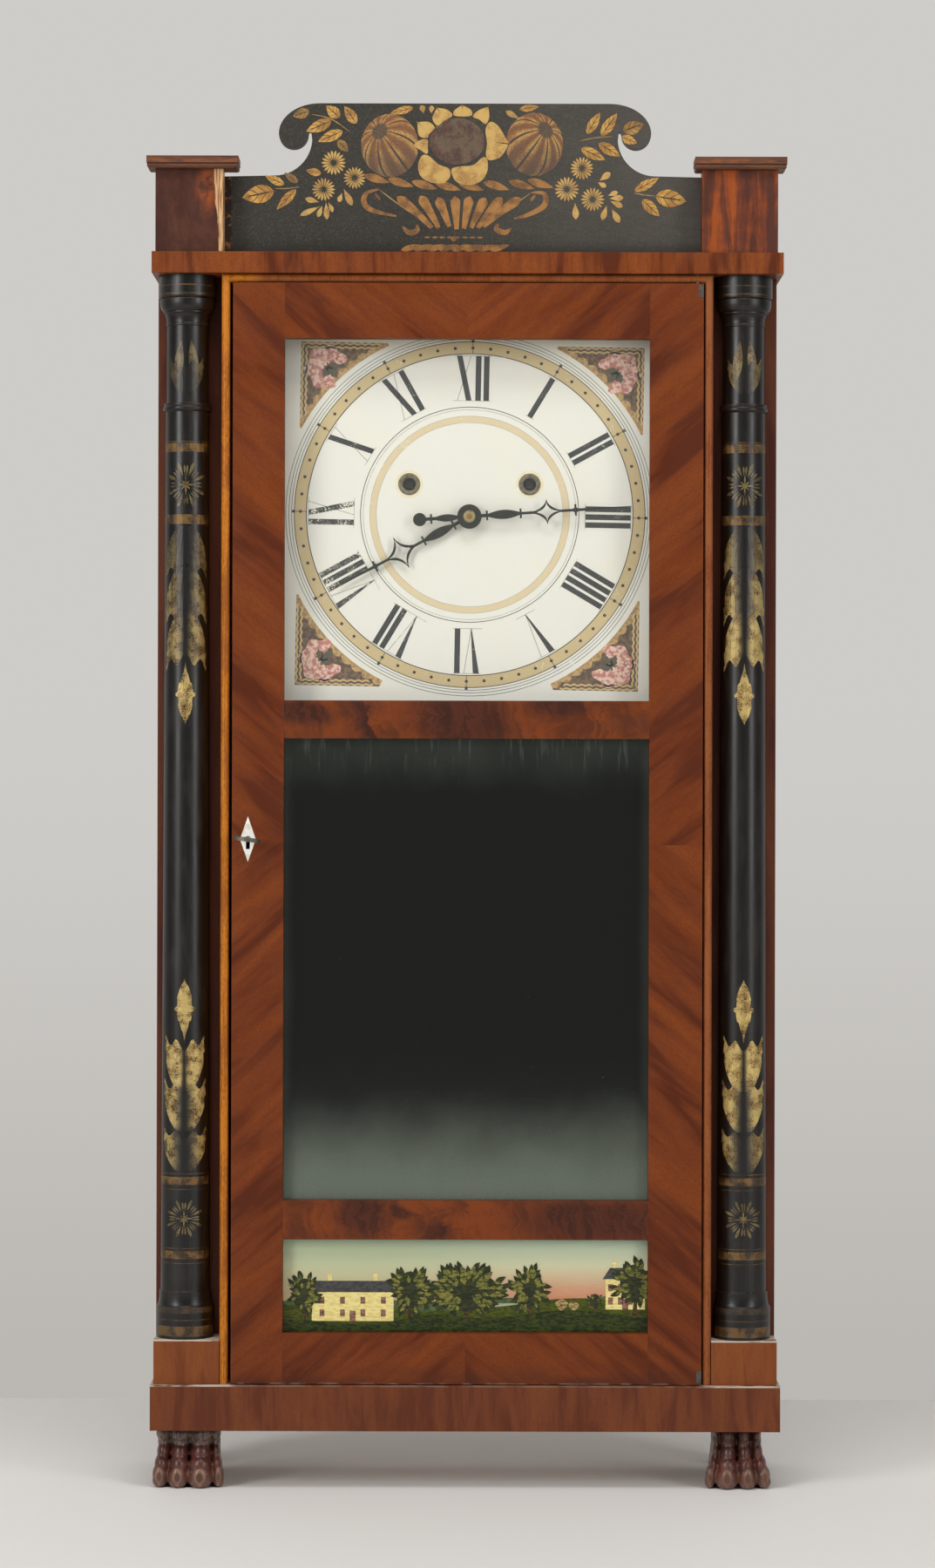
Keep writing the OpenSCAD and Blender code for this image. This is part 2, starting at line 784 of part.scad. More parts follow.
// A plate with holes for the arbors and tight holes for its studs
module movement_plate(face, studs) {
    color("peru") in_movement() difference() {
        block(-plate_half_w, plate_half_w, face, face + plate_t, plate_bottom, plate_top);
        for (a = arbors) bar(a[0], face - 1, face + plate_t + 1, a[1] + run_fit);
        for (s = studs) bar(s[0], face - 1, face + plate_t + 1, s[2]);
    }
}

module front_plate() {
    movement_plate(plate_face, front_studs);
}

module back_plate() {
    movement_plate(rear_plate_face, [[hammer_at, tail_plane, stud_r]]);
}

module plate_pillars() {
    color("peru") in_movement() for (side = [-1, 1])
        for (z = [plate_bottom + pillar_inset, plate_top - pillar_inset])
            bar([side * (plate_half_w - pillar_inset), z], plate_back, rear_plate_face,
                pillar_r);
}

module plate_studs() {
    color("silver") in_movement() {
        for (s = front_studs) bar(s[0], s[1], plate_back, s[2]);
        bar(hammer_at, tail_plane - 0.4, rear_plate_back, stud_r);
    }
}

module bell() {
    color("dimgray") in_movement() {
        turned(bell_at, bell_plane) polygon([[bell_post_r, 0], [bell_r * 0.45, 0],
            [bell_r * 0.78, bell_depth * 0.24], [bell_r * 0.95, bell_depth * 0.6],
            [bell_r, bell_depth], [bell_r - bell_wall, bell_depth],
            [bell_r * 0.95 - bell_wall, bell_depth * 0.62],
            [bell_r * 0.78 - bell_wall, bell_depth * 0.24 + bell_wall],
            [bell_r * 0.45 - bell_wall / 2, bell_wall], [bell_post_r, bell_wall]]);
        turned(bell_at, 0) polygon([[0, bell_plane - 5], [bell_post_r, bell_plane - 5],
            [bell_post_r, back_face], [0, back_face]]);
        turned(bell_at, 0) polygon([[bell_post_r, bell_plane - 4],
            [bell_post_r + 2.5, bell_plane - 4], [bell_post_r + 2.5, bell_plane],
            [bell_post_r, bell_plane]]);
    }
}

// Hanging block with a slot for the pulley, and the pulley's pin
module bracket(side) {
    x = side * pulley_x;
    slot = pulley_t + 1.4;
    y0 = drum_mid - slot / 2 - bracket_wall;
    y1 = drum_mid + slot / 2 + bracket_wall;
    difference() {
        block(x - bracket_w / 2, x + bracket_w / 2, y0, y1, pulley_z - bracket_drop, cornice_z0);
        block(x - bracket_w, x + bracket_w, drum_mid - slot / 2, drum_mid + slot / 2,
            pulley_z - bracket_drop - 1, pulley_z + pulley_r + 1);
        bar([x, pulley_z], y0 - 1, y1 + 1, pulley_pin_r);
    }
    bar([x, pulley_z], y0, y1, pulley_pin_r);
}

module pulley_brackets() {
    color("burlywood") in_case() {
        bracket(-1);
        bracket(1);
    }
}

// ---- cords that run to the drums ----

module cord_run(side) {
    drum_at = [dial_x + side * time_at[0], dial_z + time_at[1]];
    dx = pulley_x - side * drum_at[0];
    dz = pulley_z - drum_at[1];
    reach = sqrt(dx * dx + dz * dz);
    lean = asin((cord_wind_r + pulley_run_r) / reach);
    along = atan2(dz, dx);
    normal = along - 90 + lean;
    free_len = reach * cos(lean);
    joint = 0.02;
    mirror([side < 0 ? 1 : 0, 0, 0]) translate([0, drum_mid, 0]) {
        translate([side * drum_at[0], 0, drum_at[1]]) rotate([0, -normal, 0])
            translate([cord_wind_r, 0, 0]) cylinder(r = cord_r, h = free_len - joint);
        translate([pulley_x, 0, pulley_z]) rotate([90, 0, 0])
            rotate_extrude(angle = 180 + normal)
            translate([pulley_run_r, 0]) circle(r = cord_r);
    }
}

module cord_runs() {
    color("tan") in_case() {
        cord_run(-1);
        cord_run(1);
    }
}

module weight_cord(side) {
    color("tan") in_case() translate([side * weight_x, drum_mid, weight_top])
        cylinder(r = cord_r, h = pulley_z - weight_top);
}

module time_cord() {
    weight_cord(1);
}

module strike_cord() {
    weight_cord(-1);
}

// ---- door ----

pin_grip = 10;
pin_x = door_x1 - pin_inset;
pin_depth = door_face + 2.5;

// The line of the hinge pins, from one height to another
module hinge_bar(z0, z1, r) {
    translate([pin_x, pin_depth, z0]) cylinder(r = r, h = z1 - z0);
}

module hinge_pins() {
    color("gray") in_case() {
        hinge_bar(base_top - pin_grip, door_z0 + pin_grip - 1, pin_r);
        hinge_bar(door_z1 - pin_grip + 1, cornice_z0 + pin_grip, pin_r);
    }
}

// Room for the panes behind the door's three openings, cut from the frame
module rabbets() {
    for (z = [[tablet_z0, tablet_z1], [mirror_z0, mirror_z1], [dial_z0, dial_z1]])
        block(window_x0 - rabbet_w - seat_gap, window_x1 + rabbet_w + seat_gap, glass_face,
            door_back + 1, z[0] - rabbet_w - seat_gap, z[1] + rabbet_w + seat_gap);
}

keyhole_x = door_x0 + keyhole_inset;
keyhole_z = door_z0 + lock_height;
lock_w = 23;
lock_h = 36;
lock_face = door_face + 7;
bolt_t = 3.4;
bolt_h = 8;
bolt_len = 14;
bolt_y = door_back - bolt_t - 1.6;
inlay_t = 1;

// Room for the bolt between two places along x
module bolt_room(x0, x1) {
    block(x0, x1, bolt_y - seat_gap, bolt_y + bolt_t + seat_gap,
        keyhole_z - bolt_h / 2 - seat_gap, keyhole_z + bolt_h / 2 + seat_gap);
}

// Keyhole: a round hole over a slot for the bit
module keyhole(y0, y1) {
    hole_r = shank_r + 0.25;
    bar([keyhole_x, keyhole_z], y0, y1, hole_r);
    block(keyhole_x - 1.3, keyhole_x + 1.3, y0, y1, keyhole_z - 6.5, keyhole_z);
}

module diamond() {
    polygon([[0, -diamond_h / 2], [diamond_w / 2, 0], [0, diamond_h / 2], [-diamond_w / 2, 0]]);
}

module lock_stile() {
    color("sienna") in_case() difference() {
        block(door_x0, window_x0, door_face, door_back, door_z0, door_z1);
        rabbets();
        block(door_x0 - 1, door_x0 + lock_w, lock_face, door_back + 1,
            keyhole_z - lock_h / 2, keyhole_z + lock_h / 2);
        keyhole(door_face - 1, lock_face + 1);
        translate([keyhole_x, 0, keyhole_z]) plate(door_face - 1, inlay_t + 1) diamond();
    }
}

module escutcheon() {
    color("ivory") in_case() difference() {
        translate([keyhole_x, 0, keyhole_z]) plate(door_face, inlay_t) diamond();
        keyhole(door_face - 1, lock_face + 1);
    }
}

module hinge_stile() {
    color("sienna") in_case() difference() {
        block(window_x1, door_x1, door_face, door_back, door_z0, door_z1);
        rabbets();
        hinge_bar(door_z0 - 1, door_z0 + pin_grip, pin_r + run_fit);
        hinge_bar(door_z1 - pin_grip, door_z1 + 1, pin_r + run_fit);
    }
}

module door_rails() {
    color("saddlebrown") in_case() difference() {
        for (z = [[door_z0, tablet_z0], [tablet_z1, mirror_z0], [mirror_z1, dial_z0],
            [dial_z1, door_z1]])
            block(window_x0, window_x1, door_face, door_back, z[0], z[1]);
        rabbets();
    }
}

// A sheet that fills a rabbet behind one opening
module pane(z0, z1, y, t) {
    block(window_x0 - rabbet_w, window_x1 + rabbet_w, y, y + t, z0 - rabbet_w, z1 + rabbet_w);
}

module dial_glass() {
    color("lightcyan", 0.3) in_case() pane(dial_z0, dial_z1, glass_face, glass_t);
}

module mirror_glass() {
    color("darkslategray") in_case() pane(mirror_z0, mirror_z1, glass_face, glass_t);
}

module mirror_back() {
    color("peru") in_case() pane(mirror_z0, mirror_z1, glass_face + glass_t, 3);
}

module painted_tablet() {
    color("darkseagreen") in_case() pane(tablet_z0, tablet_z1, glass_face, glass_t);
}

bit_room_r = 7;
bit_y0 = lock_face + 2;
bit_t = 3;

module door_lock() {
    color("gray") in_case() difference() {
        block(door_x0, door_x0 + lock_w, lock_face, door_back,
            keyhole_z - lock_h / 2, keyhole_z + lock_h / 2);
        keyhole(lock_face - 1, bit_y0 + 1);
        bar([keyhole_x, keyhole_z], bit_y0, bolt_y - 0.8, bit_room_r);
        bolt_room(door_x0 - 1, door_x0 + bolt_len + 1.5);
    }
}

module lock_bolt() {
    color("silver") in_case() block(door_x0 + 0.5, door_x0 + 0.5 + bolt_len, bolt_y,
        bolt_y + bolt_t, keyhole_z - bolt_h / 2, keyhole_z + bolt_h / 2);
}

bow_len = 15;
bow_t = 2.5;
bow_ring = 2.6;

// The key, with its bow and bit level before it is tilted
module door_key() {
    color("gray") in_case() translate([keyhole_x, 0, keyhole_z]) rotate([0, key_tilt, 0]) {
        bar([0, 0], bow_len - key_reach - 1, bolt_y - 1.2, shank_r);
        translate([0, bow_len / 2 - key_reach, -bow_t / 2]) linear_extrude(bow_t) difference() {
            polygon(arc([0, 0], bow_w / 2, bow_len / 2, 0, 350, 35));
            polygon(arc([0, 0], bow_w / 2 - bow_ring, bow_len / 2 - bow_ring, 0, 350, 35));
        }
        block(0, bit_room_r - 1, bit_y0 + 0.4, bit_y0 + 0.4 + bit_t, -1, 1);
    }
}

// ---- winding drums, great wheels and weights ----

// Drum on its arbor, with the winding square in front and a ratchet behind
module winding_drum(at) {
    color("peru") in_movement() {
        bar(at, wind_round_y, rear_plate_back, wind_arbor_r);
        block(at[0] - wind_square / 2, at[0] + wind_square / 2, wind_square_y,
            wind_round_y + 0.5, at[1] - wind_square / 2, at[1] + wind_square / 2);
        bar(at, drum_plane, drum_plane + drum_len + ratchet_t, drum_core_r);
        bar(at, drum_plane, drum_plane + flange_t, flange_r);
        translate([at[0], 0, at[1]]) plate(drum_plane + drum_len, ratchet_t)
            polygon([for (i = [0:ratchet_teeth - 1]) for (k = [0, 1])
                polar(flange_r - ratchet_cut * k, 360 / ratchet_teeth * (i + 0.08 * k))]);
    }
}

// Great wheel, loose on the drum's arbor, with the click that holds the ratchet
module great_wheel(at, teeth, toward) {
    color("peru") in_movement() {
        difference() {
            gear(at, great_plane, great_t, teeth, great_module, toward, false);
            bar(at, great_plane - 1, great_plane + great_t + 1, wind_arbor_r + run_fit);
        }
        translate([at[0], 0, at[1]]) plate(great_plane - ratchet_t, ratchet_t)
            polygon([[flange_r + 0.5, 1], [flange_r + 0.5, -2], [flange_r + 4, -3],
                [flange_r + 8, 6], [flange_r + 5, 8]]);
    }
}

module time_drum() {
    winding_drum(time_at);
}

module strike_drum() {
    winding_drum(strike_at);
}

module time_great_wheel() {
    great_wheel(time_at, great_teeth, bearing(time_at, centre_at));
}

module strike_great_wheel() {
    great_wheel(strike_at, strike_great_teeth, bearing(strike_at, pin_at));
}

module pulley(side) {
    color("saddlebrown") in_case() turned([side * pulley_x, pulley_z], drum_mid - pulley_t / 2)
        polygon([[pulley_pin_r + run_fit, 0], [pulley_r, 0], [pulley_groove_r, pulley_t * 0.32],
            [pulley_groove_r, pulley_t * 0.68], [pulley_r, pulley_t],
            [pulley_pin_r + run_fit, pulley_t]]);
}

module time_pulley() {
    pulley(1);
}

module strike_pulley() {
    pulley(-1);
}

// Iron weight with sloped shoulders and a wire eye
module weight(side) {
    x = side * weight_x;
    shoulder = 8;
    color("dimgray") in_case() {
        translate([x, drum_mid, weight_z0]) intersection() {
            translate([0, weight_depth / 2, 0]) rotate([90, 0, 0]) linear_extrude(weight_depth)
                polygon([[-weight_w / 2 + 2, 0], [weight_w / 2 - 2, 0], [weight_w / 2, 2],
                    [weight_w / 2, weight_h - shoulder], [weight_w / 2 - shoulder, weight_h],
                    [-weight_w / 2 + shoulder, weight_h], [-weight_w / 2, weight_h - shoulder],
                    [-weight_w / 2, 2]]);
            rotate([90, 0, 90]) translate([0, 0, -weight_w / 2]) linear_extrude(weight_w)
                polygon([[-weight_depth / 2, 0], [weight_depth / 2, 0],
                    [weight_depth / 2, weight_h - shoulder],
                    [weight_depth / 2 - shoulder, weight_h],
                    [shoulder - weight_depth / 2, weight_h],
                    [-weight_depth / 2, weight_h - shoulder]]);
        }
        difference() {
            union() {
                bar([x, weight_top - hook_r], drum_mid - 1, drum_mid + 1, hook_r);
                block(x - 1.5, x + 1.5, drum_mid - 1, drum_mid + 1, weight_z0 + weight_h,
                    weight_top - hook_r);
            }
            bar([x, weight_top - hook_r], drum_mid - 2, drum_mid + 2, hook_r - 2);
        }
    }
}

module time_weight() {
    weight(1);
}

module strike_weight() {
    weight(-1);
}

// ---- time train ----

module centre_wheel() {
    color("peru") in_movement() {
        bar(centre_at, minute_hand_y + 0.1, rear_plate_back, centre_arbor_r);
        bar(centre_at, arbor_tip_y, minute_hand_y + 0.1, arbor_tip_r);
        gear(centre_at, motion_plane, motion_t, cannon_teeth, motion_module,
            motion_angle, true);
        gear(centre_at, centre_plane, wheel_t, centre_teeth, second_module,
            bearing(centre_at, third_at), false);
        gear(centre_at, great_plane - 0.5, great_t + 1, centre_pinion_teeth, great_module,
            bearing(centre_at, time_at), true);
    }
}

module third_wheel() {
    color("peru") in_movement() {
        bar(third_at, plate_face + 0.5, rear_plate_back, thin_arbor_r);
        gear(third_at, centre_plane - 0.5, wheel_t + 1, small_pinion_teeth, second_module,
            bearing(third_at, centre_at), true);
        gear(third_at, third_plane, wheel_t, third_teeth, third_module,
            bearing(third_at, escape_at), false);
    }
}

module escape_wheel() {
    step = 360 / escape_teeth;
    color("peru") in_movement() {
        bar(escape_at, escape_plane - 0.5, rear_plate_back, thin_arbor_r);
        gear(escape_at, third_plane - 0.5, wheel_t + 1, small_pinion_teeth, third_module,
            bearing(escape_at, third_at), true);
        bar(escape_at, escape_plane - 0.5, escape_plane + motion_t + 1, 5);
        translate([escape_at[0], 0, escape_at[1]]) plate(escape_plane + 0.8, escape_t)
            polygon([for (i = [0:escape_teeth - 1]) for (k = [[0, 0], [0.12, 0], [0.5, 1]])
                polar(escape_r - 3.4 * k[1], step * (i + k[0]))]);
    }
}

module verge() {
    color("silver") in_movement() difference() {
        union() {
            bar(verge_at, crutch_plane - 0.8, escape_plane + motion_t + 0.5, 3.2);
            translate([escape_at[0], 0, escape_at[1]]) plate(escape_plane + 0.3, motion_t - 0.6)
                polygon(concat(
                    arc([0, 0], verge_in_r, verge_in_r, 90 - verge_half_span,
                        90 + verge_half_span, 16),
                    arc([0, 0], verge_in_r + verge_strip_t, verge_in_r + verge_strip_t,
                        90 + verge_half_span, 90 - verge_half_span, 16)));
            block(verge_at[0] - 0.8, verge_at[0] + 0.8, crutch_plane - 0.8, crutch_plane + 0.8,
                verge_at[1] - crutch_len, verge_at[1]);
            block(verge_at[0] - 3.4, verge_at[0] + 3.4, rod_plane - 2.2, crutch_plane + 0.8,
                verge_at[1] - crutch_len - 1, verge_at[1] - crutch_len + 1);
        }
        block(verge_at[0] - rod_r - 0.5, verge_at[0] + rod_r + 0.5, rod_plane - rod_r - 0.4,
            rod_plane + rod_r + 0.4, verge_at[1] - crutch_len - 2, verge_at[1] - crutch_len + 2);
        bar(verge_at, crutch_plane - 5, plate_face, verge_pin_r + run_fit);
    }
}

// ---- motion work and hands ----

module motion_wheel() {
    color("peru") in_movement() difference() {
        union() {
            gear(motion_at, motion_plane, motion_t, motion_teeth, motion_module,
                bearing(motion_at, centre_at), false);
            gear(motion_at, hour_plane - 0.5, motion_plane - hour_plane + 0.6,
                motion_pinion_teeth, hour_module, bearing(motion_at, centre_at), true);
        }
        bar(motion_at, hour_plane - 2, plate_face, stud_r + run_fit);
    }
}

module hour_wheel() {
    color("peru") in_movement() difference() {
        union() {
            gear(centre_at, hour_plane, motion_t, hour_teeth, hour_module,
                bearing(centre_at, motion_at), false);
            bar(centre_at, hour_hand_y - 0.4, hour_plane + 0.5, pipe_r);
        }
        bar(centre_at, hour_hand_y - 1, motion_plane, centre_arbor_r + run_fit);
    }
}

// Half outline of a hand along its length, as width and distance from the arbor,
// with a leaf, an open diamond and a fine point
module hand_outline(boss_r, len, diamond_at, diamond_half_w, diamond_half_l) {
    leaf_from = 11.7;
    leaf_to = 34.1;
    leaf_half_w = 2.3;
    bar_half = 3.2;
    bar_t = 1.3;
    collar_at = 70.6;
    stem = 1.1;
    d = diamond_half_l;
    w = diamond_half_w;
    circle(r = boss_r);
    translate([-stem, 0]) square([2 * stem, leaf_from + 1]);
    polygon(concat(
        [for (i = [0:10]) let (t = i / 10)
            [stem * 0.7 + leaf_half_w * sin(180 * t), leaf_from + (leaf_to - leaf_from) * t]],
        [for (i = [10:-1:0]) let (t = i / 10)
            [-stem * 0.7 - leaf_half_w * sin(180 * t), leaf_from + (leaf_to - leaf_from) * t]]));
    for (z = [leaf_from, leaf_to])
        translate([-bar_half, z - bar_t / 2]) square([2 * bar_half, bar_t]);
    translate([-stem * 0.8, leaf_to]) square([stem * 1.6, diamond_at - d - leaf_to + 3]);
    difference() {
        polygon(diamond_points(diamond_at, w + 1.1, d + 4.4));
        polygon(diamond_points(diamond_at, w - 1.3, d - 0.8));
    }
    translate([-stem * 0.8, diamond_at + d]) square([stem * 1.6, collar_at - diamond_at - d]);
    translate([-bar_half - 0.6, collar_at - bar_t / 2]) square([2 * bar_half + 1.2, bar_t]);
    translate([0, collar_at]) circle(r = 1.8);
    polygon([[-stem * 0.9, collar_at], [stem * 0.9, collar_at], [0.25, len], [-0.25, len]]);
}

// A diamond with hollow sides, as points
function diamond_points(at, w, d) = concat(
    [for (i = [0:6]) let (t = i / 6) [w * pow(1 - t, 1.7), at + d * pow(t, 1.7)]],
    [for (i = [5:-1:0]) let (t = i / 6) [-w * pow(1 - t, 1.7), at + d * pow(t, 1.7)]],
    [for (i = [1:6]) let (t = i / 6) [-w * pow(1 - t, 1.7), at - d * pow(t, 1.7)]],
    [for (i = [5:-1:1]) let (t = i / 6) [w * pow(1 - t, 1.7), at - d * pow(t, 1.7)]]);

module hour_hand() {
    color("#2a2624") in_movement() difference() {
        plate(hour_hand_y, hand_t) rotate(-hour_angle)
            hand_outline(hour_boss_r, hour_len, 51.1, 10.9, 9.7);
        bar(centre_at, hour_hand_y - 1, dial_face, pipe_r);
    }
}

module minute_hand() {
    tail_at = 33;
    color("#2a2624") in_movement() difference() {
        union() {
            plate(minute_hand_y, hand_t) rotate(-minute_angle) {
                hand_outline(minute_boss_r, minute_len, 51.5, 7.4, 9.4);
                translate([-1.1, -tail_at]) square([2.2, tail_at]);
                polygon([for (s = [1, -1]) for (i = [0:8]) let (t = (s > 0 ? i : 8 - i) / 8)
                    [s * (0.8 + 1.6 * sin(180 * t)), -7 - 16 * t]]);
                translate([-3.2, -26]) square([6.4, 1.3]);
                translate([0, -tail_at]) circle(r = 4.4);
            }
            bar(centre_at, minute_hand_y, hour_hand_y - 0.7, nut_r);
        }
        bar(centre_at, minute_hand_y + 0.1, dial_face, centre_arbor_r);
        bar(centre_at, minute_hand_y - 1, minute_hand_y + 0.2, arbor_tip_r);
    }
}

module hand_nut() {
    color("gold") in_movement() turned(centre_at, nut_y)
        polygon([[arbor_tip_r, 0], [nut_r - 1, 0], [nut_r, 0.8], [nut_r, 2.5],
            [arbor_tip_r, 2.5]]);
}

// ---- pendulum ----

module pendulum_rod() {
    spring_len = 14;
    color("gray") in_movement() difference() {
        union() {
            bar(hang_at, rod_plane - 1.2, rod_plane + 1.2, 3.4);
            block(hang_at[0] - 0.4, hang_at[0] + 0.4, rod_plane - 1, rod_plane + 1,
                hang_at[1] - spring_len, hang_at[1]);
            translate([hang_at[0], rod_plane, bob_at[1] + bob_r + 1])
                cylinder(r = rod_r, h = pendulum_len - bob_r - spring_len);
        }
        bar(hang_at, rod_plane - 3, rod_plane + 3, verge_pin_r + run_fit);
    }
}

// Lens-shaped bob, with a square collar for the rod on top and a rating nut below
module pendulum_bob() {
    rim_r = bob_r - 1;
    color("goldenrod") in_movement() {
        turned(bob_at, rod_plane - bob_t / 2) polygon([[0, 0], [bob_r * 0.5, bob_t * 0.1],
            [rim_r, bob_t * 0.37], [bob_r, bob_t * 0.44], [bob_r, bob_t * 0.56],
            [rim_r, bob_t * 0.63], [bob_r * 0.5, bob_t * 0.9], [0, bob_t]]);
        difference() {
            block(bob_at[0] - 2.2, bob_at[0] + 2.2, rod_plane - 2.2, rod_plane + 2.2,
                bob_at[1] + bob_r - 2, bob_at[1] + bob_r + 6);
            translate([bob_at[0], rod_plane, bob_at[1] + bob_r + 1]) cylinder(r = rod_r, h = 8);
        }
        block(bob_at[0] - 0.9, bob_at[0] + 0.9, rod_plane - 0.9, rod_plane + 0.9,
            bob_at[1] - bob_r - 2, bob_at[1] - bob_r + 2);
        translate([bob_at[0], rod_plane, bob_at[1] - bob_r - 3.6]) cylinder(r = 3, h = 2);
    }
}

// ---- strike train ----

module pin_wheel() {
    color("peru") in_movement() {
        bar(pin_at, count_plane - 0.5, rear_plate_back, pin_arbor_r);
        gear(pin_at, count_plane - 0.2, motion_t + 0.4, count_pinion_teeth, count_module,
            bearing(pin_at, count_at), true);
        gear(pin_at, third_plane, wheel_t, pin_teeth, second_module,
            bearing(pin_at, locking_at), false);
        gear(pin_at, great_plane - 0.5, great_t + 1, small_pinion_teeth, great_module,
            bearing(pin_at, strike_at), true);
        for (i = [0:pin_count - 1])
            bar(pin_at + polar(pin_circle_r, 360 / pin_count * i + 18), third_plane + 2,
                third_plane + wheel_t + 4, pin_stick_r);
    }
}

module locking_wheel() {
    color("peru") in_movement() {
        bar(locking_at, plate_face + 0.5, rear_plate_back, thin_arbor_r);
        gear(locking_at, third_plane - 0.5, wheel_t + 1, small_pinion_teeth, second_module,
            bearing(locking_at, pin_at), true);
        gear(locking_at, centre_plane, wheel_t, locking_teeth, third_module,
            bearing(locking_at, fly_at), false);
    }
}

module fly() {
    blade_r = 17;
    color("burlywood") in_movement() {
        bar(fly_at, plate_face + 0.5, rear_plate_back, thin_arbor_r);
        gear(fly_at, centre_plane - 0.5, wheel_t + 1, small_pinion_teeth, third_module,
            bearing(fly_at, locking_at), true);
        translate([fly_at[0], 0, fly_at[1]]) rotate([0, 35, 0]) {
            bar([0, 0], drum_plane + 1, drum_plane + drum_len - 1, 3);
            block(-blade_r, blade_r, drum_plane + 1, drum_plane + drum_len - 1, -0.7, 0.7);
        }
    }
}

module count_wheel() {
    notch_at = [0, 2, 5, 9, 14, 20, 27, 35, 44, 54, 65, 77];
    blows = 90;
    rim_r = count_module * count_teeth / 2 - 1.4;
    color("peru") in_movement() difference() {
        union() {
            gear(count_at, count_plane, motion_t / 2, count_teeth, count_module,
                bearing(count_at, pin_at), false);
            bar(count_at, count_plane, count_plane + motion_t, rim_r);
        }
        for (n = notch_at) translate([count_at[0], 0, count_at[1]])
            rotate([0, 360 / blows * n, 0])
            block(rim_r - 3, rim_r + 3, count_plane + motion_t / 2, count_plane + motion_t + 1,
                -0.7, 0.7);
        bar(count_at, count_plane - 2, plate_face, stud_r + run_fit);
    }
}

// Hammer: a boss on its stud, a tail under the pins, and a wire arm with its head
module hammer() {
    tail_tip = pin_at + polar(pin_circle_r + pin_stick_r + 1.4, -86);
    arm_len = hammer_at[1] - head_at[1];
    arm_lean = atan2(hammer_at[0] - head_at[0], arm_len);
    wire_from = hammer_boss_r - 1;
    color("gray") in_movement() difference() {
        union() {
            bar(hammer_at, tail_plane, rear_plate_face - 0.4, hammer_boss_r);
            plate(tail_plane, tail_t) polygon([hammer_at - [1, tail_t],
                tail_tip - [0, tail_t], tail_tip, hammer_at + [0, tail_t]]);
            translate([hammer_at[0], hammer_plane, hammer_at[1]])
                rotate([0, 180 + arm_lean, 0]) translate([0, 0, wire_from])
                cylinder(r = hammer_wire_r, h = arm_len / cos(arm_lean) - wire_from);
            translate([head_at[0] - head_len / 2, hammer_plane, head_at[1]])
                rotate([0, 90, 0]) cylinder(r = head_r, h = head_len);
        }
        bar(hammer_at, tail_plane - 1, rear_plate_face + 1, stud_r + run_fit);
    }
}

backboard();
case_sides();
top_board();
bottom_board();
base_rails();
column_boards();
plinth_blocks();
left_column();
right_column();
door_bead();
pedestals();
pedestal_caps();
splat();
paw_feet();
rear_feet();
inner_rails();
dial_board();
front_plate();
back_plate();
plate_pillars();
plate_studs();
bell();
pulley_brackets();
cord_runs();
hinge_pins();
lock_stile();
hinge_stile();
door_rails();
dial_glass();
mirror_glass();
mirror_back();
painted_tablet();
escutcheon();
door_lock();
lock_bolt();
door_key();
time_great_wheel();
time_drum();
time_pulley();
time_weight();
time_cord();
centre_wheel();
third_wheel();
escape_wheel();
verge();
motion_wheel();
hour_wheel();
hour_hand();
minute_hand();
hand_nut();
pendulum_rod();
pendulum_bob();
strike_great_wheel();
strike_drum();
strike_pulley();
strike_weight();
strike_cord();
pin_wheel();
locking_wheel();
fly();
count_wheel();
hammer();
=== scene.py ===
"""Looks of an Empire shelf clock: veneers, gold stencilling, painted dial, glasses, carved feet."""

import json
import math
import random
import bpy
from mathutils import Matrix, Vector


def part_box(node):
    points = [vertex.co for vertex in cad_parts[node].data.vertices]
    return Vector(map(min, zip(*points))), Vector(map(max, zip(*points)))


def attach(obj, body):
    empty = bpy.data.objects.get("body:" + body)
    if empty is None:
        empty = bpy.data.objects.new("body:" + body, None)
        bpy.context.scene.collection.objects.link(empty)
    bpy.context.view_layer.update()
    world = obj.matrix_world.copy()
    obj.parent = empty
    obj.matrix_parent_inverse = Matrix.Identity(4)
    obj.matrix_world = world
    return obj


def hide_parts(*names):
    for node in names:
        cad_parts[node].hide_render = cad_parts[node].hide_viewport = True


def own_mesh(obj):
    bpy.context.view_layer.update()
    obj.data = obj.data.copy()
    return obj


bl_info = {
    "name": "Stencilled shelf clock",
    "version": (1, 0, 0),
    "blender": (4, 5, 0),
    "location": "View3D > Sidebar > Clock",
    "description": "Dresses the joinery of a shelf clock with its finishes and ornament",
    "category": "Object",
}

import bmesh
import bpy
from mathutils import Matrix, Vector, noise
from mathutils.bvhtree import BVHTree

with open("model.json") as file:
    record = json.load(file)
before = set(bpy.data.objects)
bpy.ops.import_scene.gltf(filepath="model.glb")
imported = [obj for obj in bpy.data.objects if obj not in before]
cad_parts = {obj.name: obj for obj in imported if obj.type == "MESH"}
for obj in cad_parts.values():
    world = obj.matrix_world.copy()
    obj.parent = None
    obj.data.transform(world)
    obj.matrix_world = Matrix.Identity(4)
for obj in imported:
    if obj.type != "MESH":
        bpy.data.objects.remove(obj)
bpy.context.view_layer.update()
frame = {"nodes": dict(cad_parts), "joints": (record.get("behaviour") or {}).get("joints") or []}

MM = 0.001
NODES = frame["nodes"]


def shade(red, green, blue):
    """A colour as a shader takes it, from 0 to 255 for each part."""
    parts = []
    for part in (red, green, blue):
        part /= 255
        parts.append(part / 12.92 if part <= 0.04045 else ((part + 0.055) / 1.055) ** 2.4)
    return (*parts, 1.0)


def blend(low, high, part):
    """Low where the part is 0, high where it is 1."""
    return low + (high - low) * part


def ease(low, high, value):
    """Runs smoothly from 0 to 1 as the value runs from low to high, either way round."""
    part = min(max((value - low) / (high - low), 0.0), 1.0)
    return part * part * (3 - 2 * part)


# ---------------------------------------------------------------- shader maths


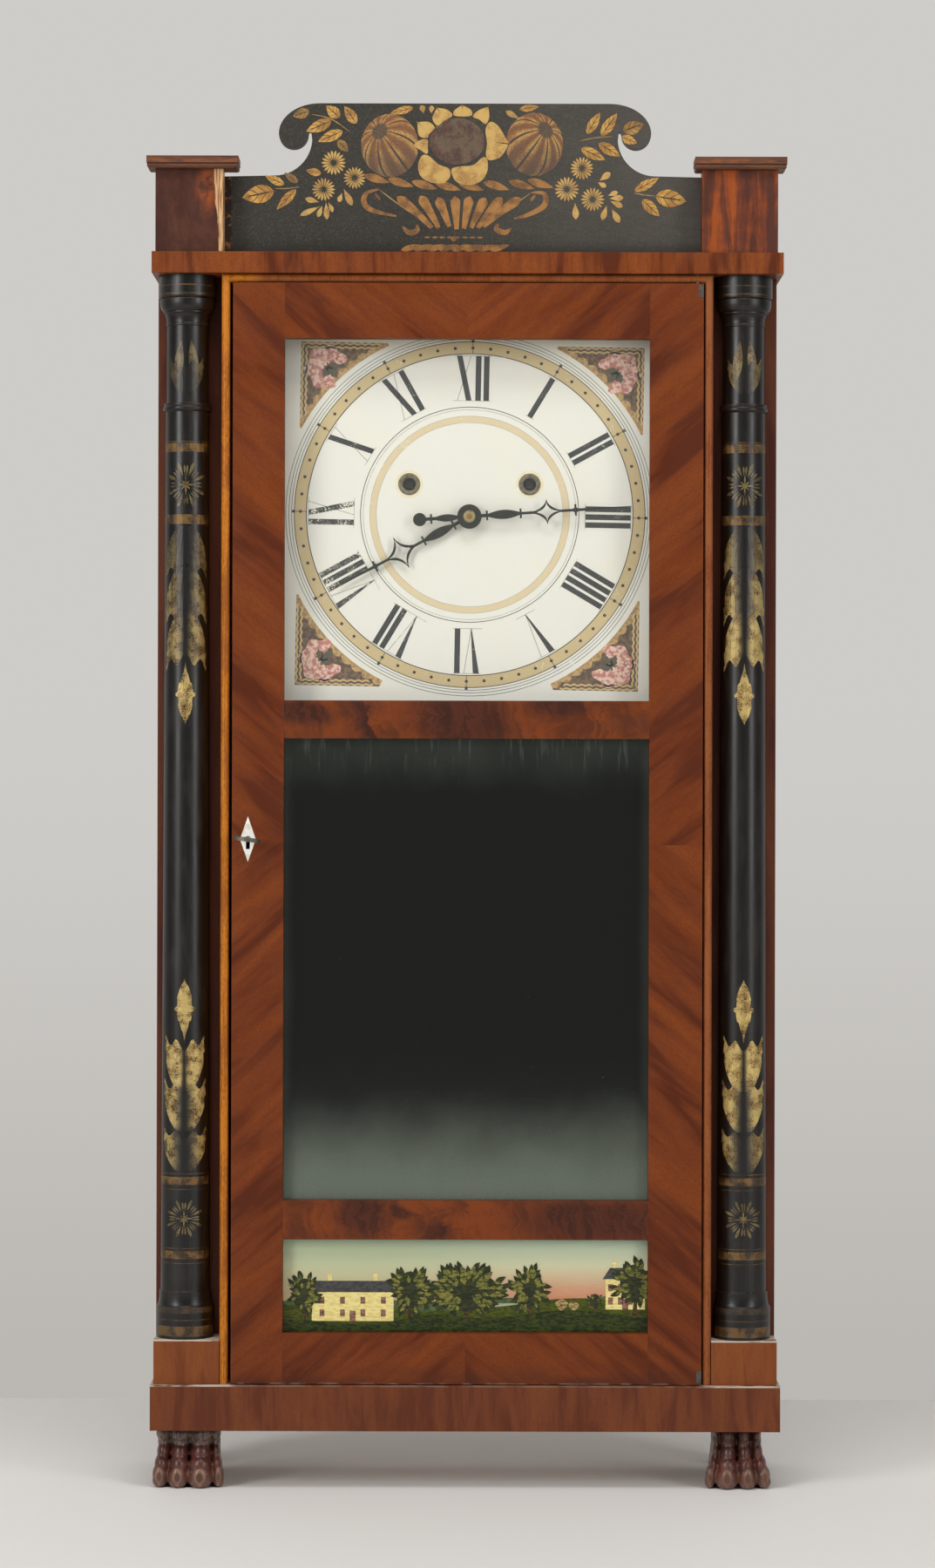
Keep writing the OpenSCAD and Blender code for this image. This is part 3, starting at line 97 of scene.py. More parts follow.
def maths(operation):
    """A method that passes its terms on to one Math node."""
    return lambda *terms: terms[0].finish.node(
        "ShaderNodeMath", dict(enumerate(terms)), operation=operation)


class Value:
    """A number, colour or direction on its way through a finish's nodes."""

    def __init__(self, finish, socket):
        self.finish, self.socket = finish, socket

    __add__ = __radd__ = maths("ADD")
    __sub__ = maths("SUBTRACT")
    __mul__ = __rmul__ = maths("MULTIPLY")
    __truediv__ = maths("DIVIDE")
    __mod__ = maths("FLOORED_MODULO")
    __abs__ = maths("ABSOLUTE")
    least = maths("MINIMUM")
    most = maths("MAXIMUM")
    wave = maths("SINE")
    # 1 where this is more than the other, else 0
    over = maths("GREATER_THAN")

    def __rsub__(self, other):
        return self.finish.node("ShaderNodeMath", {0: other, 1: self}, operation="SUBTRACT")

    def span(self, low, high, start=0.0, end=1.0):
        """Runs smoothly from start to end as this runs from low to high."""
        return self.finish.node("ShaderNodeMapRange", {0: self, 1: low, 2: high, 3: start, 4: end},
                                interpolation_type="SMOOTHSTEP")


class Finish:
    """One material and the few kinds of node that the finishes are made of."""

    def __init__(self, name):
        self.material = bpy.data.materials.new(name)
        self.material.use_nodes = True
        self.tree = self.material.node_tree
        self.tree.nodes.clear()

    def node(self, kind, sockets=None, out=0, stops=None, **settings):
        """Makes a node, fills or links its sockets, and gives one of its outputs."""
        made = self.tree.nodes.new(kind)
        for setting, value in settings.items():
            setattr(made, setting, value)
        if stops:
            ramp = made.color_ramp.elements
            while len(ramp) < len(stops):
                ramp.new(0.5)
            for stop, (at, colour) in zip(ramp, stops):
                stop.position, stop.color = at, colour
        for key, value in (sockets or {}).items():
            if isinstance(value, Value):
                self.tree.links.new(value.socket, made.inputs[key])
            else:
                made.inputs[key].default_value = value
        return Value(self, made.outputs[out]) if len(made.outputs) else None

    def place(self):
        """Where a point is, in millimetres."""
        here = self.node("ShaderNodeTexCoord", out="Object")
        return self.vector("SCALE", here, Scale=1 / MM)

    def vector(self, operation, first, second=None, **more):
        sockets = {0: first, **more}
        if second is not None:
            sockets[1] = second
        return self.node("ShaderNodeVectorMath", sockets, operation=operation)

    def parts(self, vector):
        split = self.node("ShaderNodeSeparateXYZ", {0: vector}).socket.node
        return [Value(self, split.outputs[i]) for i in range(3)]

    def join(self, x, y, z):
        return self.node("ShaderNodeCombineXYZ", {0: x, 1: y, 2: z})

    def mix(self, factor, first, second):
        return self.node("ShaderNodeMix", {0: factor, 6: first, 7: second}, out=2,
                         data_type="RGBA")

    def ramp(self, value, *stops):
        return self.node("ShaderNodeValToRGB", {0: value}, stops=stops)

    def noise(self, where, size, detail=2.0, rough=0.5, bend=0.0):
        """Cloudy noise whose features are about size millimetres, one number or three."""
        if not isinstance(size, tuple):
            size = (size, size, size)
        near = self.vector("MULTIPLY", where, tuple(1 / s for s in size))
        return self.node("ShaderNodeTexNoise", {
            "Vector": near, "Scale": 1.0, "Detail": detail, "Roughness": rough,
            "Distortion": bend})

    def near(self, where, centre, radii, soft=0.5):
        """1 round a centre, falling to 0 at these radii; 0 for a radius means no limit."""
        apart = self.vector("SUBTRACT", where, centre)
        apart = self.vector("MULTIPLY", apart, tuple(1 / r if r else 0.0 for r in radii))
        far = self.node("ShaderNodeVectorMath", {0: apart}, out="Value", operation="LENGTH")
        return far.span(1.0, 1.0 - soft)

    def mark(self, name):
        """A number kept on the points of a mesh."""
        return self.node("ShaderNodeAttribute", out="Fac", attribute_name=name,
                         attribute_type="GEOMETRY")

    def edge(self, radius):
        """The normal with edges rounded to a radius in millimetres, and a number that is 0 on
        a flat face and 1 at such an edge."""
        soft = self.node("ShaderNodeBevel", {"Radius": radius * MM}, samples=4)
        flat = self.node("ShaderNodeNewGeometry", out="Normal")
        along = self.node("ShaderNodeVectorMath", {0: soft, 1: flat}, out="Value",
                          operation="DOT_PRODUCT")
        return soft, along.span(0.98, 0.80)

    def worn(self, base, radius, share, tint):
        """The rounded normal, and the colour with its edges rubbed to a tint."""
        soft, edge = self.edge(radius)
        return soft, self.mix(edge * share, base, tint)

    def bump(self, height, depth, strength=1.0, normal=None):
        sockets = {"Height": height, "Distance": depth * MM, "Strength": strength}
        if normal is not None:
            sockets["Normal"] = normal
        return self.node("ShaderNodeBump", sockets)

    def done(self, base, rough, normal=None, shine=None, **more):
        """The material. Its specular level is set where one is given as shine."""
        sockets = {"Base Color": base, "Roughness": rough, **more}
        if normal is not None:
            sockets["Normal"] = normal
        if shine is not None:
            sockets["Specular IOR Level"] = shine
        skin = self.node("ShaderNodeBsdfPrincipled", sockets)
        self.node("ShaderNodeOutputMaterial", {0: skin})
        return self.material


# ---------------------------------------------------------------- sizes and colours


def length(name, about, millimetres):
    return bpy.props.FloatProperty(
        name=name, description=about, default=millimetres * MM, unit="LENGTH", precision=5
    )


def colour(name, about, red, green, blue):
    return bpy.props.FloatVectorProperty(
        name=name, description=about, default=shade(red, green, blue), size=4, subtype="COLOR",
        min=0, max=1,
    )


def number(name, about, value):
    return bpy.props.FloatProperty(name=name, description=about, default=value)


class ClockSizes(bpy.types.PropertyGroup):
    """Sizes of the ornament"""

    paint_rise: length("Paint rise", "Height of gold and paint over the wood", 0.06)
    edge_round: length("Edge rounding", "Radius to which the veneered edges are worn", 0.7)
    band_outer: length("Minute band, outside", "Outer radius of the minute band", 116.3)
    band_inner: length("Minute band, inside", "Inner radius of the minute band", 108.5)
    numeral_outer: length("Numerals, outside", "Radius of the numerals' outer ends", 107.3)
    numeral_inner: length("Numerals, inside", "Radius of the numerals' inner ends", 76.6)
    inner_ring: length("Inner ring", "Outer radius of the pale ring inside the numerals", 66.3)
    foot_grain: length("Foot detail", "Size of the smallest carved detail in a foot", 0.8)


class ClockColours(bpy.types.PropertyGroup):
    """Colours of the finishes"""

    door: colour("Door veneer", "Body colour of the door's mahogany", 107, 50, 20)
    base: colour("Base veneer", "Body colour of the base", 104, 55, 32)
    cornice: colour("Cornice veneer", "Body colour of the cornice", 114, 56, 24)
    plinth: colour("Plinth veneer", "Body colour of the plinth blocks", 122, 66, 34)
    sides: colour("Side veneer", "Body colour of the case sides", 96, 48, 28)
    boards: colour("Column boards", "Body colour of the boards behind the columns", 92, 50, 34)
    caps: colour("Caps", "Body colour of the pedestals' caps", 98, 64, 48)
    # painted light and shade: one bead wood, lighter at the lit side of the door and darker at the
    # far side
    bead_painted_light: colour("Bead, left", "Bead at the lit side of the door", 190, 114, 30)
    bead_painted_shade: colour("Bead, right", "Bead at the far side of the door", 140, 80, 42)
    lacquer: colour("Lacquer", "Black ground of the columns", 13, 11, 8)
    splat_ground: colour("Splat ground", "Grey-black ground of the splat", 58, 56, 51)
    fruit: colour("Fruit", "Warm bronze of the fruit and basket", 158, 104, 58)
    cream: colour("Dial", "Cream ground of the dial", 228, 226, 214)
    ink: colour("Numerals", "Charcoal of the numerals", 40, 38, 38)
    tan: colour("Dial gold", "Tan of the minute band", 198, 176, 128)
    foot: colour("Feet", "Stained wood of the feet", 78, 42, 34)
    iron: colour("Hands", "Dark iron of the hands", 36, 31, 28)
    # dark colour of the looking glass, painted as the reflection of a dark room
    glass: colour("Looking glass", "Dark of the looking glass", 21, 22, 20)


class ClockStudio(bpy.types.PropertyGroup):
    """Camera, lamps and backdrop"""

    eye: bpy.props.FloatVectorProperty(
        name="Eye", description="Place of the camera", default=(0.0007, -2.6575, 0.466),
        subtype="TRANSLATION", unit="LENGTH",
    )
    lens: number("Lens", "Focal length of the camera, in millimetres", 90.74)
    roll: bpy.props.FloatProperty(
        name="Roll", description="Tilt of the camera about its line of sight",
        default=math.radians(-0.14), subtype="ANGLE",
    )
    left_power: number("Left lamp", "Power of the lamp at the left, in watts", 38.0)
    right_power: number("Right lamp", "Power of the lamp at the right, in watts", 24.0)
    top_power: number("Top lamp", "Power of the lamp over the floor, in watts", 20.0)
    back_power: number("Back lamp", "Power of the lamp behind the clock, in watts", 3.5)
    ambient: number("Room light", "Strength of the light from all round", 0.27)
    wall: colour("Wall", "Backdrop", 206, 204, 200)
    floor: colour("Floor", "Floor", 242, 239, 234)


# ---------------------------------------------------------------- meshes


def layers(bm):
    """The numbers that the ornament's finishes read from its points."""
    kept = bm.verts.layers.float
    return [kept.get(name) or kept.new(name) for name in ("across", "along", "tone")]


def sheet_of(bm, put, columns, rows, tone=1.0):
    """A grid bent by put(across, along), with across from -1 to 1 and along from 0 to 1. Its
    tone is a number, or is given for each place as put is."""
    across_at, along_at, tone_at = layers(bm)
    made = bmesh.ops.create_grid(bm, x_segments=columns, y_segments=rows, size=1)
    for vert in made["verts"]:
        across, along = vert.co.x, (vert.co.y + 1) / 2
        vert[across_at], vert[along_at] = across, along
        vert[tone_at] = tone(across, along) if callable(tone) else tone
        vert.co = put(across, along)
    return made["verts"]


def through(before, start, end, after, part):
    """A point between start and end on the smooth line through four points."""
    return [0.5 * (2 * b + (c - a) * part + (2 * a - 5 * b + 4 * c - d) * part * part
                   + (3 * b - a - 3 * c + d) * part ** 3)
            for a, b, c, d in zip(before, start, end, after)]


def spun(bm, points, centre, steps):
    """Turns a line of points about an axis that runs from front to back."""
    verts = [bm.verts.new(point) for point in points]
    edges = [bm.edges.new(pair) for pair in zip(verts, verts[1:])]
    bmesh.ops.spin(bm, geom=verts + edges, cent=centre, axis=(0, 1, 0), angle=math.tau,
                   steps=steps, use_merge=True)


def face_front(bm):
    """Turns every face of flat ornament to the viewer's side."""
    bm.normal_update()
    wrong = [face for face in bm.faces if face.normal.y > 0]
    bmesh.ops.reverse_faces(bm, faces=wrong)


def spread(half_width, shape):
    """Half width of a blade of a shape, along its length from 0 to 1."""
    shapes = {
        "leaf": lambda t: math.sin(math.pi * t ** 0.8) ** 0.9,
        "drop": lambda t: math.sin(math.pi * t ** 1.6) ** 0.8,
        "flute": lambda t: blend(0.38, 1.0, t) * (1 - ease(0.78, 1.0, t) ** 1.6) ** 0.5,
        "stem": lambda t: blend(1.0, 0.35, t),
    }
    return lambda t: half_width * max(0.0, shapes[shape](min(max(t, 0.0), 1.0)))


# Millimetres between the levels that strokes take turns at.
STROKE_GAP = 0.012


class Drawing:
    """Flat ornament drawn in millimetres across and up, laid on a surface."""

    def __init__(self, surface, levels=9):
        self.bm = bmesh.new()
        self.ground = surface
        self.coats, self.levels = 0, levels
        layers(self.bm)

    def surface(self, across, up):
        """Strokes take turns at levels a hair apart, so that neighbours share no plane."""
        return self.ground(across, up, STROKE_GAP * (self.coats % self.levels))

    def sheet(self, place, columns, rows, tone=1.0):
        """A stroke bent by place(across, along), which gives millimetres across and up."""
        self.coats += 1
        return sheet_of(self.bm, lambda *at: self.surface(*place(*at)), columns, rows, tone)

    def blade(self, root, angle, size, half_width, shape="leaf", bend=0.0, tone=1.0,
              steps=(4, 10)):
        """A leaf or petal from its root, at an angle clockwise from up, in degrees."""
        half = spread(half_width, shape)
        turn = math.radians(angle)

        def place(across, along):
            curl = turn + math.radians(bend) * (along - 0.5)
            reach = size * along
            sweep = math.radians(bend) * along * along * size * 0.25
            aside = half(along) * across + sweep
            return (root[0] + reach * math.sin(turn) + aside * math.cos(curl),
                    root[1] + reach * math.cos(turn) - aside * math.sin(curl))

        self.sheet(place, *steps, tone)

    def ribbon(self, points, half_width, tone=1.0, rows=14):
        """A strip along a smooth line through points, narrower at its ends."""
        last, near_by = len(points) - 1, 0.02

        def at(t):
            """The line's place at a part of its length, kept just short of its end."""
            t = min(t, 0.9999) * last
            i = int(t)
            four = (points[min(max(k, 0), last)] for k in (i - 1, i, i + 1, i + 2))
            return through(*four, t - i)

        def place(across, along):
            here, ahead = at(along), at(along + near_by)
            if along > 0.97:
                before = at(along - near_by)
                ahead = [2 * here[k] - before[k] for k in (0, 1)]
            dx, dz = ahead[0] - here[0], ahead[1] - here[1]
            size = math.hypot(dx, dz) or 1.0
            wide = half_width * math.sin(math.pi * blend(0.08, 0.92, along))
            return here[0] - dz / size * wide * across, here[1] + dx / size * wide * across

        self.sheet(place, 2, rows, tone)

    def leaf(self, tip, root, half_width, shape="leaf", tone=1.0, steps=(6, 12), bend=0.0):
        """A blade given by its tip and its root. Steps are across and along it."""
        dx, dz = tip[0] - root[0], tip[1] - root[1]
        self.blade(root, math.degrees(math.atan2(dx, dz)), math.hypot(dx, dz), half_width,
                   shape, bend, tone, steps)

    def disc(self, centre, radius, tone=1.0, rings=5, segments=28, tall=None):
        """A round patch, with along running from its middle to its edge."""
        tall = tall or radius
        self.patch([(centre[0] + radius * math.sin(math.tau * i / 12),
                     centre[1] + tall * math.cos(math.tau * i / 12)) for i in range(12)],
                   tone, rings, segments)

    def patch(self, points, tone=1.0, rings=4, segments=40):
        """A patch inside a smooth closed line through points."""
        count = len(points)
        middle = [sum(p[k] for p in points) / count for k in (0, 1)]

        def place(across, along):
            t = (across + 1) / 2 % 1.0 * count
            i = int(t)
            rim = through(*(points[(i + k) % count] for k in (-1, 0, 1, 2)), t - i)
            return [blend(middle[k], rim[k], along) for k in (0, 1)]

        verts = self.sheet(place, segments, rings, tone)
        bmesh.ops.remove_doubles(self.bm, verts=verts, dist=1e-6)

    def daisy(self, centre, radius, petals, tone):
        """A ring of narrow petals round an open middle."""
        for i in range(petals):
            turn = math.tau * (i + 0.5) / petals
            way = (math.sin(turn), math.cos(turn))
            tip, root = ([centre[k] + radius * reach * way[k] for k in (0, 1)]
                         for reach in (1.0, 0.20))
            self.leaf(tip, root, radius * 0.095, "drop", tone, (2, 5))

    def finish(self, name, material, body, slot=None):
        face_front(self.bm)
        return piece(name, self.bm, material, body, slot, smooth=False)


def piece(name, bm, material, body, slot=None, smooth=True):
    """Makes an object of a mesh in metres, in its place, and lets it ride on a body."""
    mesh = bpy.data.meshes.new(name)
    if smooth:
        for face in bm.faces:
            face.smooth = True
    bm.to_mesh(mesh)
    bm.free()
    made = bpy.data.objects.new(name, mesh)
    bpy.context.scene.collection.objects.link(made)
    mesh.materials.append(material)
    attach(made, body)
    return made


def coat(material, *names):
    """Gives CAD nodes a finish."""
    for name in names:
        slots = NODES[name].material_slots
        if not slots:
            NODES[name].data.materials.append(material)
        for each in slots:
            each.material = material


def low(name):
    """The lower corner of a CAD node's box, in millimetres."""
    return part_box(name)[0] / MM


def high(name):
    """The upper corner of a CAD node's box, in millimetres."""
    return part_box(name)[1] / MM


# ---------------------------------------------------------------- woods


def grain_place(finish, angle, fold=None):
    """Place counted along, across and through the grain. The grain leans by an angle from
    level in front view. With a fold, the figure is mirrored about that height."""
    x, y, z = finish.parts(finish.place())
    if fold is not None:
        y = y + z.over(fold) * 47.0
        z = abs(z - fold)
    lean = math.radians(angle)
    along = x * math.cos(lean) + z * math.sin(lean)
    across = z * math.cos(lean) - x * math.sin(lean)
    return finish.join(along, across, y)


def figured(finish, grain, tones, reach=1.0):
    """Colour of figured veneer from its place along the grain, with its open pores."""
    dark, mid, light = tones
    broad = finish.noise(grain, (150 * reach, 30 * reach, 60), 2, bend=0.9)
    ribbon = finish.noise(grain, (90 * reach, 12 * reach, 40), 3, 0.6, 1.2)
    streak = finish.noise(grain, (18, 0.9, 12), 3, 0.6)
    pores = finish.noise(grain, (3.2, 0.34, 0.6), 1)
    tone = broad * 0.60 + ribbon * 0.33 + streak * 0.07
    base = finish.ramp(tone, (0.40, dark), (0.48, mid), (0.61, light))
    specks = finish.noise(grain, (1.6, 0.9, 1.0), 2).span(0.40, 0.62)
    pitted = pores.span(0.57, 0.70)
    base = finish.mix(specks * 0.26, base, dark)
    return finish.mix(pitted * 0.18, base, dark), pitted


# Specular level of old French polish.
POLISH = 0.16
RUBBED_VENEER = shade(112, 72, 50)


def veneer(name, angle, body, contrast=1.0, fold=None, reach=1.0, gloss=0.42, worn=0.25,
           extra=None):
    """French polished mahogany veneer with softened, slightly rubbed edges."""
    finish = Finish(name)
    grain = grain_place(finish, angle, fold)
    base, pitted = figured(finish, grain, mahogany_tones(body, contrast), reach)
    if extra is not None:
        base = extra(finish, base)
    soft, base = finish.worn(base, bpy.context.scene.clock_sizes.edge_round / MM, worn,
                             RUBBED_VENEER)
    rough = finish.noise(grain, (40, 16, 16), 3).span(0.3, 0.7, gloss - 0.06, gloss + 0.10)
    normal = finish.bump(1 - pitted, 0.03, 0.5, soft)
    return finish.done(base, rough, normal, shine=POLISH)


def bare_wood(name, angle, tones, ring=5.0, rough=0.75, painted_shade_depth=None):
    """Unpolished, aged wood, darkened in front of a depth if one is given: painted shade of the
    winding holes, with blackening by handling.
    """
    finish = Finish(name)
    grain = grain_place(finish, angle)
    bands = finish.noise(grain, (260, ring * 2.2, 40), 3, bend=0.6)
    fine = finish.noise(grain, (30, 0.7, 4), 3, 0.6)
    stain = finish.noise(grain, (70, 50, 50), 4)
    dark, mid, light = tones
    base = finish.ramp(bands * 0.6 + fine * 0.4, (0.38, dark), (0.52, mid), (0.66, light))
    base = finish.mix(stain.span(0.45, 0.75) * 0.35, base, dark)
    # painted shade: the part in front of the depth, seen down the winding holes, is darkened
    if painted_shade_depth is not None:
        depth = finish.parts(finish.place())[1]
        base = finish.mix(1 - depth.over(painted_shade_depth), base, shade(34, 28, 24))
    soft, base = finish.worn(base, 0.6, 0.3, dark)
    normal = finish.bump(fine, 0.06, 0.6, soft)
    return finish.done(base, rough + bands * 0.1, normal, shine=POLISH)


def mahogany_tones(body, contrast=1.0):
    """Dark, middle and light figure round a veneer's body colour."""
    return [tuple(c * blend(1.0, f, contrast) for c, f in zip(body, lift)) + (1.0,)
            for lift in ((0.54, 0.48, 0.60), (1.0, 1.0, 1.0), (1.36, 1.46, 1.15))]


class CLOCK_OT_case_woods(bpy.types.Operator):
    """Veneers and plain woods of the case, the crest and its caps"""

    bl_idname = "clock.case_woods"
    bl_label = "Case woods"

    def execute(self, context):
        colours = context.scene.clock_colours
        coat(veneer("base_veneer", 90, colours.base, 0.6, reach=0.5,
                    extra=rubbed_top("base_rails", 0.15)), "base_rails")
        coat(veneer("cornice_veneer", 90, colours.cornice, 1.0, reach=0.55), "top_board")
        coat(veneer("plinth_veneer", 90, colours.plinth, 0.5, reach=0.5,
                    extra=rubbed_top("plinth_blocks", 1.0)), "plinth_blocks")
        coat(veneer("side_veneer", 90, colours.sides, reach=1.4), "case_sides")
        coat(veneer("board_veneer", 90, colours.boards, 0.8, reach=1.2), "column_boards")
        coat(bead_finish(colours), "door_bead")
        coat(veneer("pedestal_veneer", 90, shade(78, 45, 34), 0.6, reach=0.5,
                    extra=pedestal_figure), "pedestals")
        coat(veneer("cap_wood", 0, colours.caps, 0.8, reach=0.4, gloss=0.5, worn=0.2,
                    extra=cap_mouldings), "pedestal_caps")
        pine = (shade(112, 80, 50), shade(138, 102, 66), shade(158, 122, 80))
        coat(bare_wood("backboard_pine", 90, pine, 7.0), "backboard")
        inside = (shade(124, 92, 58), shade(156, 120, 78), shade(176, 142, 96))
        coat(bare_wood("inner_pine", 90, inside, 4.0), "inner_rails", "pulley_brackets",
             "mirror_back")
        coat(bare_wood("bottom_pine", 0, inside, 5.0), "bottom_board")
        coat(turned_foot_wood(colours), "rear_feet")
        return {"FINISHED"}


# Where the plinths begin, across from the middle, in millimetres.
PLINTHS_FROM = 150.0


def rubbed_top(node, middle):
    """Lays a pale, dusty line along a block's top edge, weaker between the plinths."""
    top = high(node).z

    def lay(finish, base):
        place = finish.place()
        x, _, z = finish.parts(place)
        patchy = finish.noise(place, (16, 6, 6), 3).span(0.34, 0.54)
        outer = abs(x).span(PLINTHS_FROM, PLINTHS_FROM + 8.0, middle, 1.0)
        line = z.span(top - 1.2, top - 0.5) * patchy * outer
        return finish.mix(line * 0.85, base, shade(208, 198, 182))

    return lay


def cap_mouldings(finish, base):
    """The dark line under a cap's slab, painted shade under its lip, and the slab's warmer middle.
    """
    place = finish.place()
    z = finish.parts(place)[2]
    top = high("pedestal_caps").z
    rubbed = finish.noise(place, (9, 9, 1.4), 3).span(0.45, 0.62)
    warm = z.span(top - 4.6, top - 4.0) * z.span(top - 1.0, top - 2.0) * rubbed
    base = finish.mix(warm * 0.5, base, shade(146, 84, 48))
    # painted shade: a dark line under the slab's lip
    line = z.span(top - 5.6, top - 5.2) * z.span(top - 4.4, top - 4.8)
    return finish.mix(line * 0.8, base, shade(40, 24, 20))


def inner_edge(name):
    """Where the left one of a pair ends, towards the middle, in millimetres."""
    return max(vert.co.x for vert in NODES[name].data.vertices if vert.co.x < 0) / MM


def pedestal_figure(finish, base):
    """Plum brown with one orange flame at the left, orange streaks at the right, and a strip
    at the left block's inner edge where the veneer is gone from the pine."""
    place = finish.place()
    x, _, z = finish.parts(place)
    foot, top = low("pedestals").z, high("pedestals").z
    wander = finish.noise(place, (12, 30, 12), 4, 0.6)
    streak = finish.noise(place, (8, 20, 70), 3, 0.6, 0.5)
    warm = finish.ramp(streak * 0.75 + wander * 0.25, (0.42, shade(80, 46, 36)),
                       (0.50, shade(106, 55, 36)), (0.60, shade(146, 72, 30)))
    blotch = finish.noise(place, (5, 20, 7), 4, 0.65).span(0.40, 0.60)
    base = finish.mix(blotch * 0.4, base, shade(52, 32, 28))
    base = finish.mix(x.over(0.0), base, warm)
    edge = inner_edge("pedestals")
    flame = finish.near(place, (edge - 11.0, 0, top - 13.0), (10, 0, 24), 0.95)
    base = finish.mix(flame * wander.span(0.34, 0.58) * 0.8, base, shade(162, 82, 38))
    wide = z.span(foot, top, 2.4, 6.0) + (wander - 0.5) * 3.0
    strip = (x - edge + wide).span(-0.3, 0.3) * (1 - x.over(0.0))
    bare = finish.ramp(finish.noise(place, (0.8, 4, 16), 3),
                       (0.38, shade(142, 98, 66)), (0.6, shade(214, 176, 128)))
    return finish.mix(strip, base, bare)


def bead_finish(colours):
    """Polished bead, golden at the lit side as painted light and browner at the far one as painted
    shade.
    """
    finish = Finish("bead_wood")
    place = finish.place()
    x = finish.parts(place)[0]
    streak = finish.noise(place, (1.2, 2, 60), 3, 0.6)
    blot = finish.noise(place, (16, 12, 40), 3)
    # painted light and shade: the bead is painted brighter at the lit side than at the far side
    body = finish.mix(x.span(-150.0, -130.0), tuple(colours.bead_painted_light),
                      tuple(colours.bead_painted_shade))
    dark = finish.mix(0.62, body, shade(104, 46, 18))
    fleck = finish.noise(place, (1.3, 2, 2.6), 3, 0.6)
    base = finish.mix((streak * 0.3 + blot * 0.4 + fleck * 0.3).span(0.42, 0.56), dark, body)
    return finish.done(base, 0.34 + blot * 0.12, finish.edge(0.5)[0], shine=POLISH)


def turned_foot_wood(colours):
    """Stained turned wood, rubbed at its rings."""
    finish = Finish("rear_foot_wood")
    grain = grain_place(finish, 90)
    streak = finish.noise(grain, (30, 1.4, 1.4), 3)
    blot = finish.noise(grain, 14, 3)
    base = finish.mix((streak * 0.6 + blot * 0.4).span(0.36, 0.64), shade(44, 20, 16), colours.foot)
    soft, base = finish.worn(base, 0.8, 0.5, shade(112, 72, 56))
    return finish.done(base, 0.42 + blot * 0.2, finish.bump(streak, 0.05, 0.4, soft), shine=POLISH)


# Slant of the door's figure in degrees, and how far below the door's top it is mirrored.
SLANT = 40
FOLD_DROP = 367.0


class CLOCK_OT_door_woods(bpy.types.Operator):
    """Veneers of the door, laid slanting and mirrored where they meet"""

    bl_idname = "clock.door_woods"
    bl_label = "Door woods"

    def execute(self, context):
        colours = context.scene.clock_colours
        fold = high("lock_stile").z - FOLD_DROP
        coat(veneer("lock_stile_veneer", -SLANT, colours.door, 0.9, fold, extra=door_foot),
             "lock_stile")
        coat(veneer("hinge_stile_veneer", SLANT, colours.door, 0.9, fold - 3.0,
                    extra=door_foot), "hinge_stile")
        coat(rail_finish(colours), "door_rails")
        steel = iron_finish("lock_steel", shade(96, 92, 86), 0.42, 0.8)
        coat(steel, "door_lock", "lock_bolt", "hinge_pins", "plate_studs")
        coat(bone_finish(), "escutcheon")
        coat(iron_finish("key_steel", shade(118, 112, 104), 0.34, 0.85), "door_key")
        self.hinge_leaves(steel)
        return {"FINISHED"}

    def hinge_leaves(self, steel):
        """Worn iron leaves let into the door's corners at its hinged side."""
        stile_low, stile_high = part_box("hinge_stile")
        bm = bmesh.new()
        for z, way in ((stile_high.z, -1), (stile_low.z, 1)):
            tall, wide, thick = 8.0, 3.4, 0.5
            leaf = bmesh.ops.create_cube(bm, size=1.0)["verts"]
            bmesh.ops.scale(bm, verts=leaf, vec=(wide * MM, thick * MM, tall * MM))
            bmesh.ops.translate(bm, verts=leaf, vec=(
                stile_high.x - wide / 2 * MM, stile_low.y, z + way * (tall / 2 + 1.0) * MM))
        bmesh.ops.bevel(bm, geom=bm.edges[:], offset=0.15 * MM, affect="EDGES", segments=2,
                        profile=0.5, material=-1)
        piece("hinge_leaves", bm, steel, "door", "steel", smooth=False)


def door_foot(finish, base):
    """Grime and a pale worn edge along the foot of the door."""
    place = finish.place()
    z = finish.parts(place)[2]
    foot = low("lock_stile").z
    grime = z.span(foot + 16.0, foot + 1.0) * finish.noise(place, (40, 20, 9), 3).span(0.3, 0.6)
    base = finish.mix(grime * 0.5, base, shade(66, 36, 28))
    worn = z.span(foot + 1.2, foot + 0.5) * finish.noise(place, (12, 6, 6), 3).span(0.46, 0.60)
    return finish.mix(worn * 0.6, base, shade(150, 120, 100))


# A height between the rails that part the glasses from each other.
DOOR_HALF_WAY = 500.0


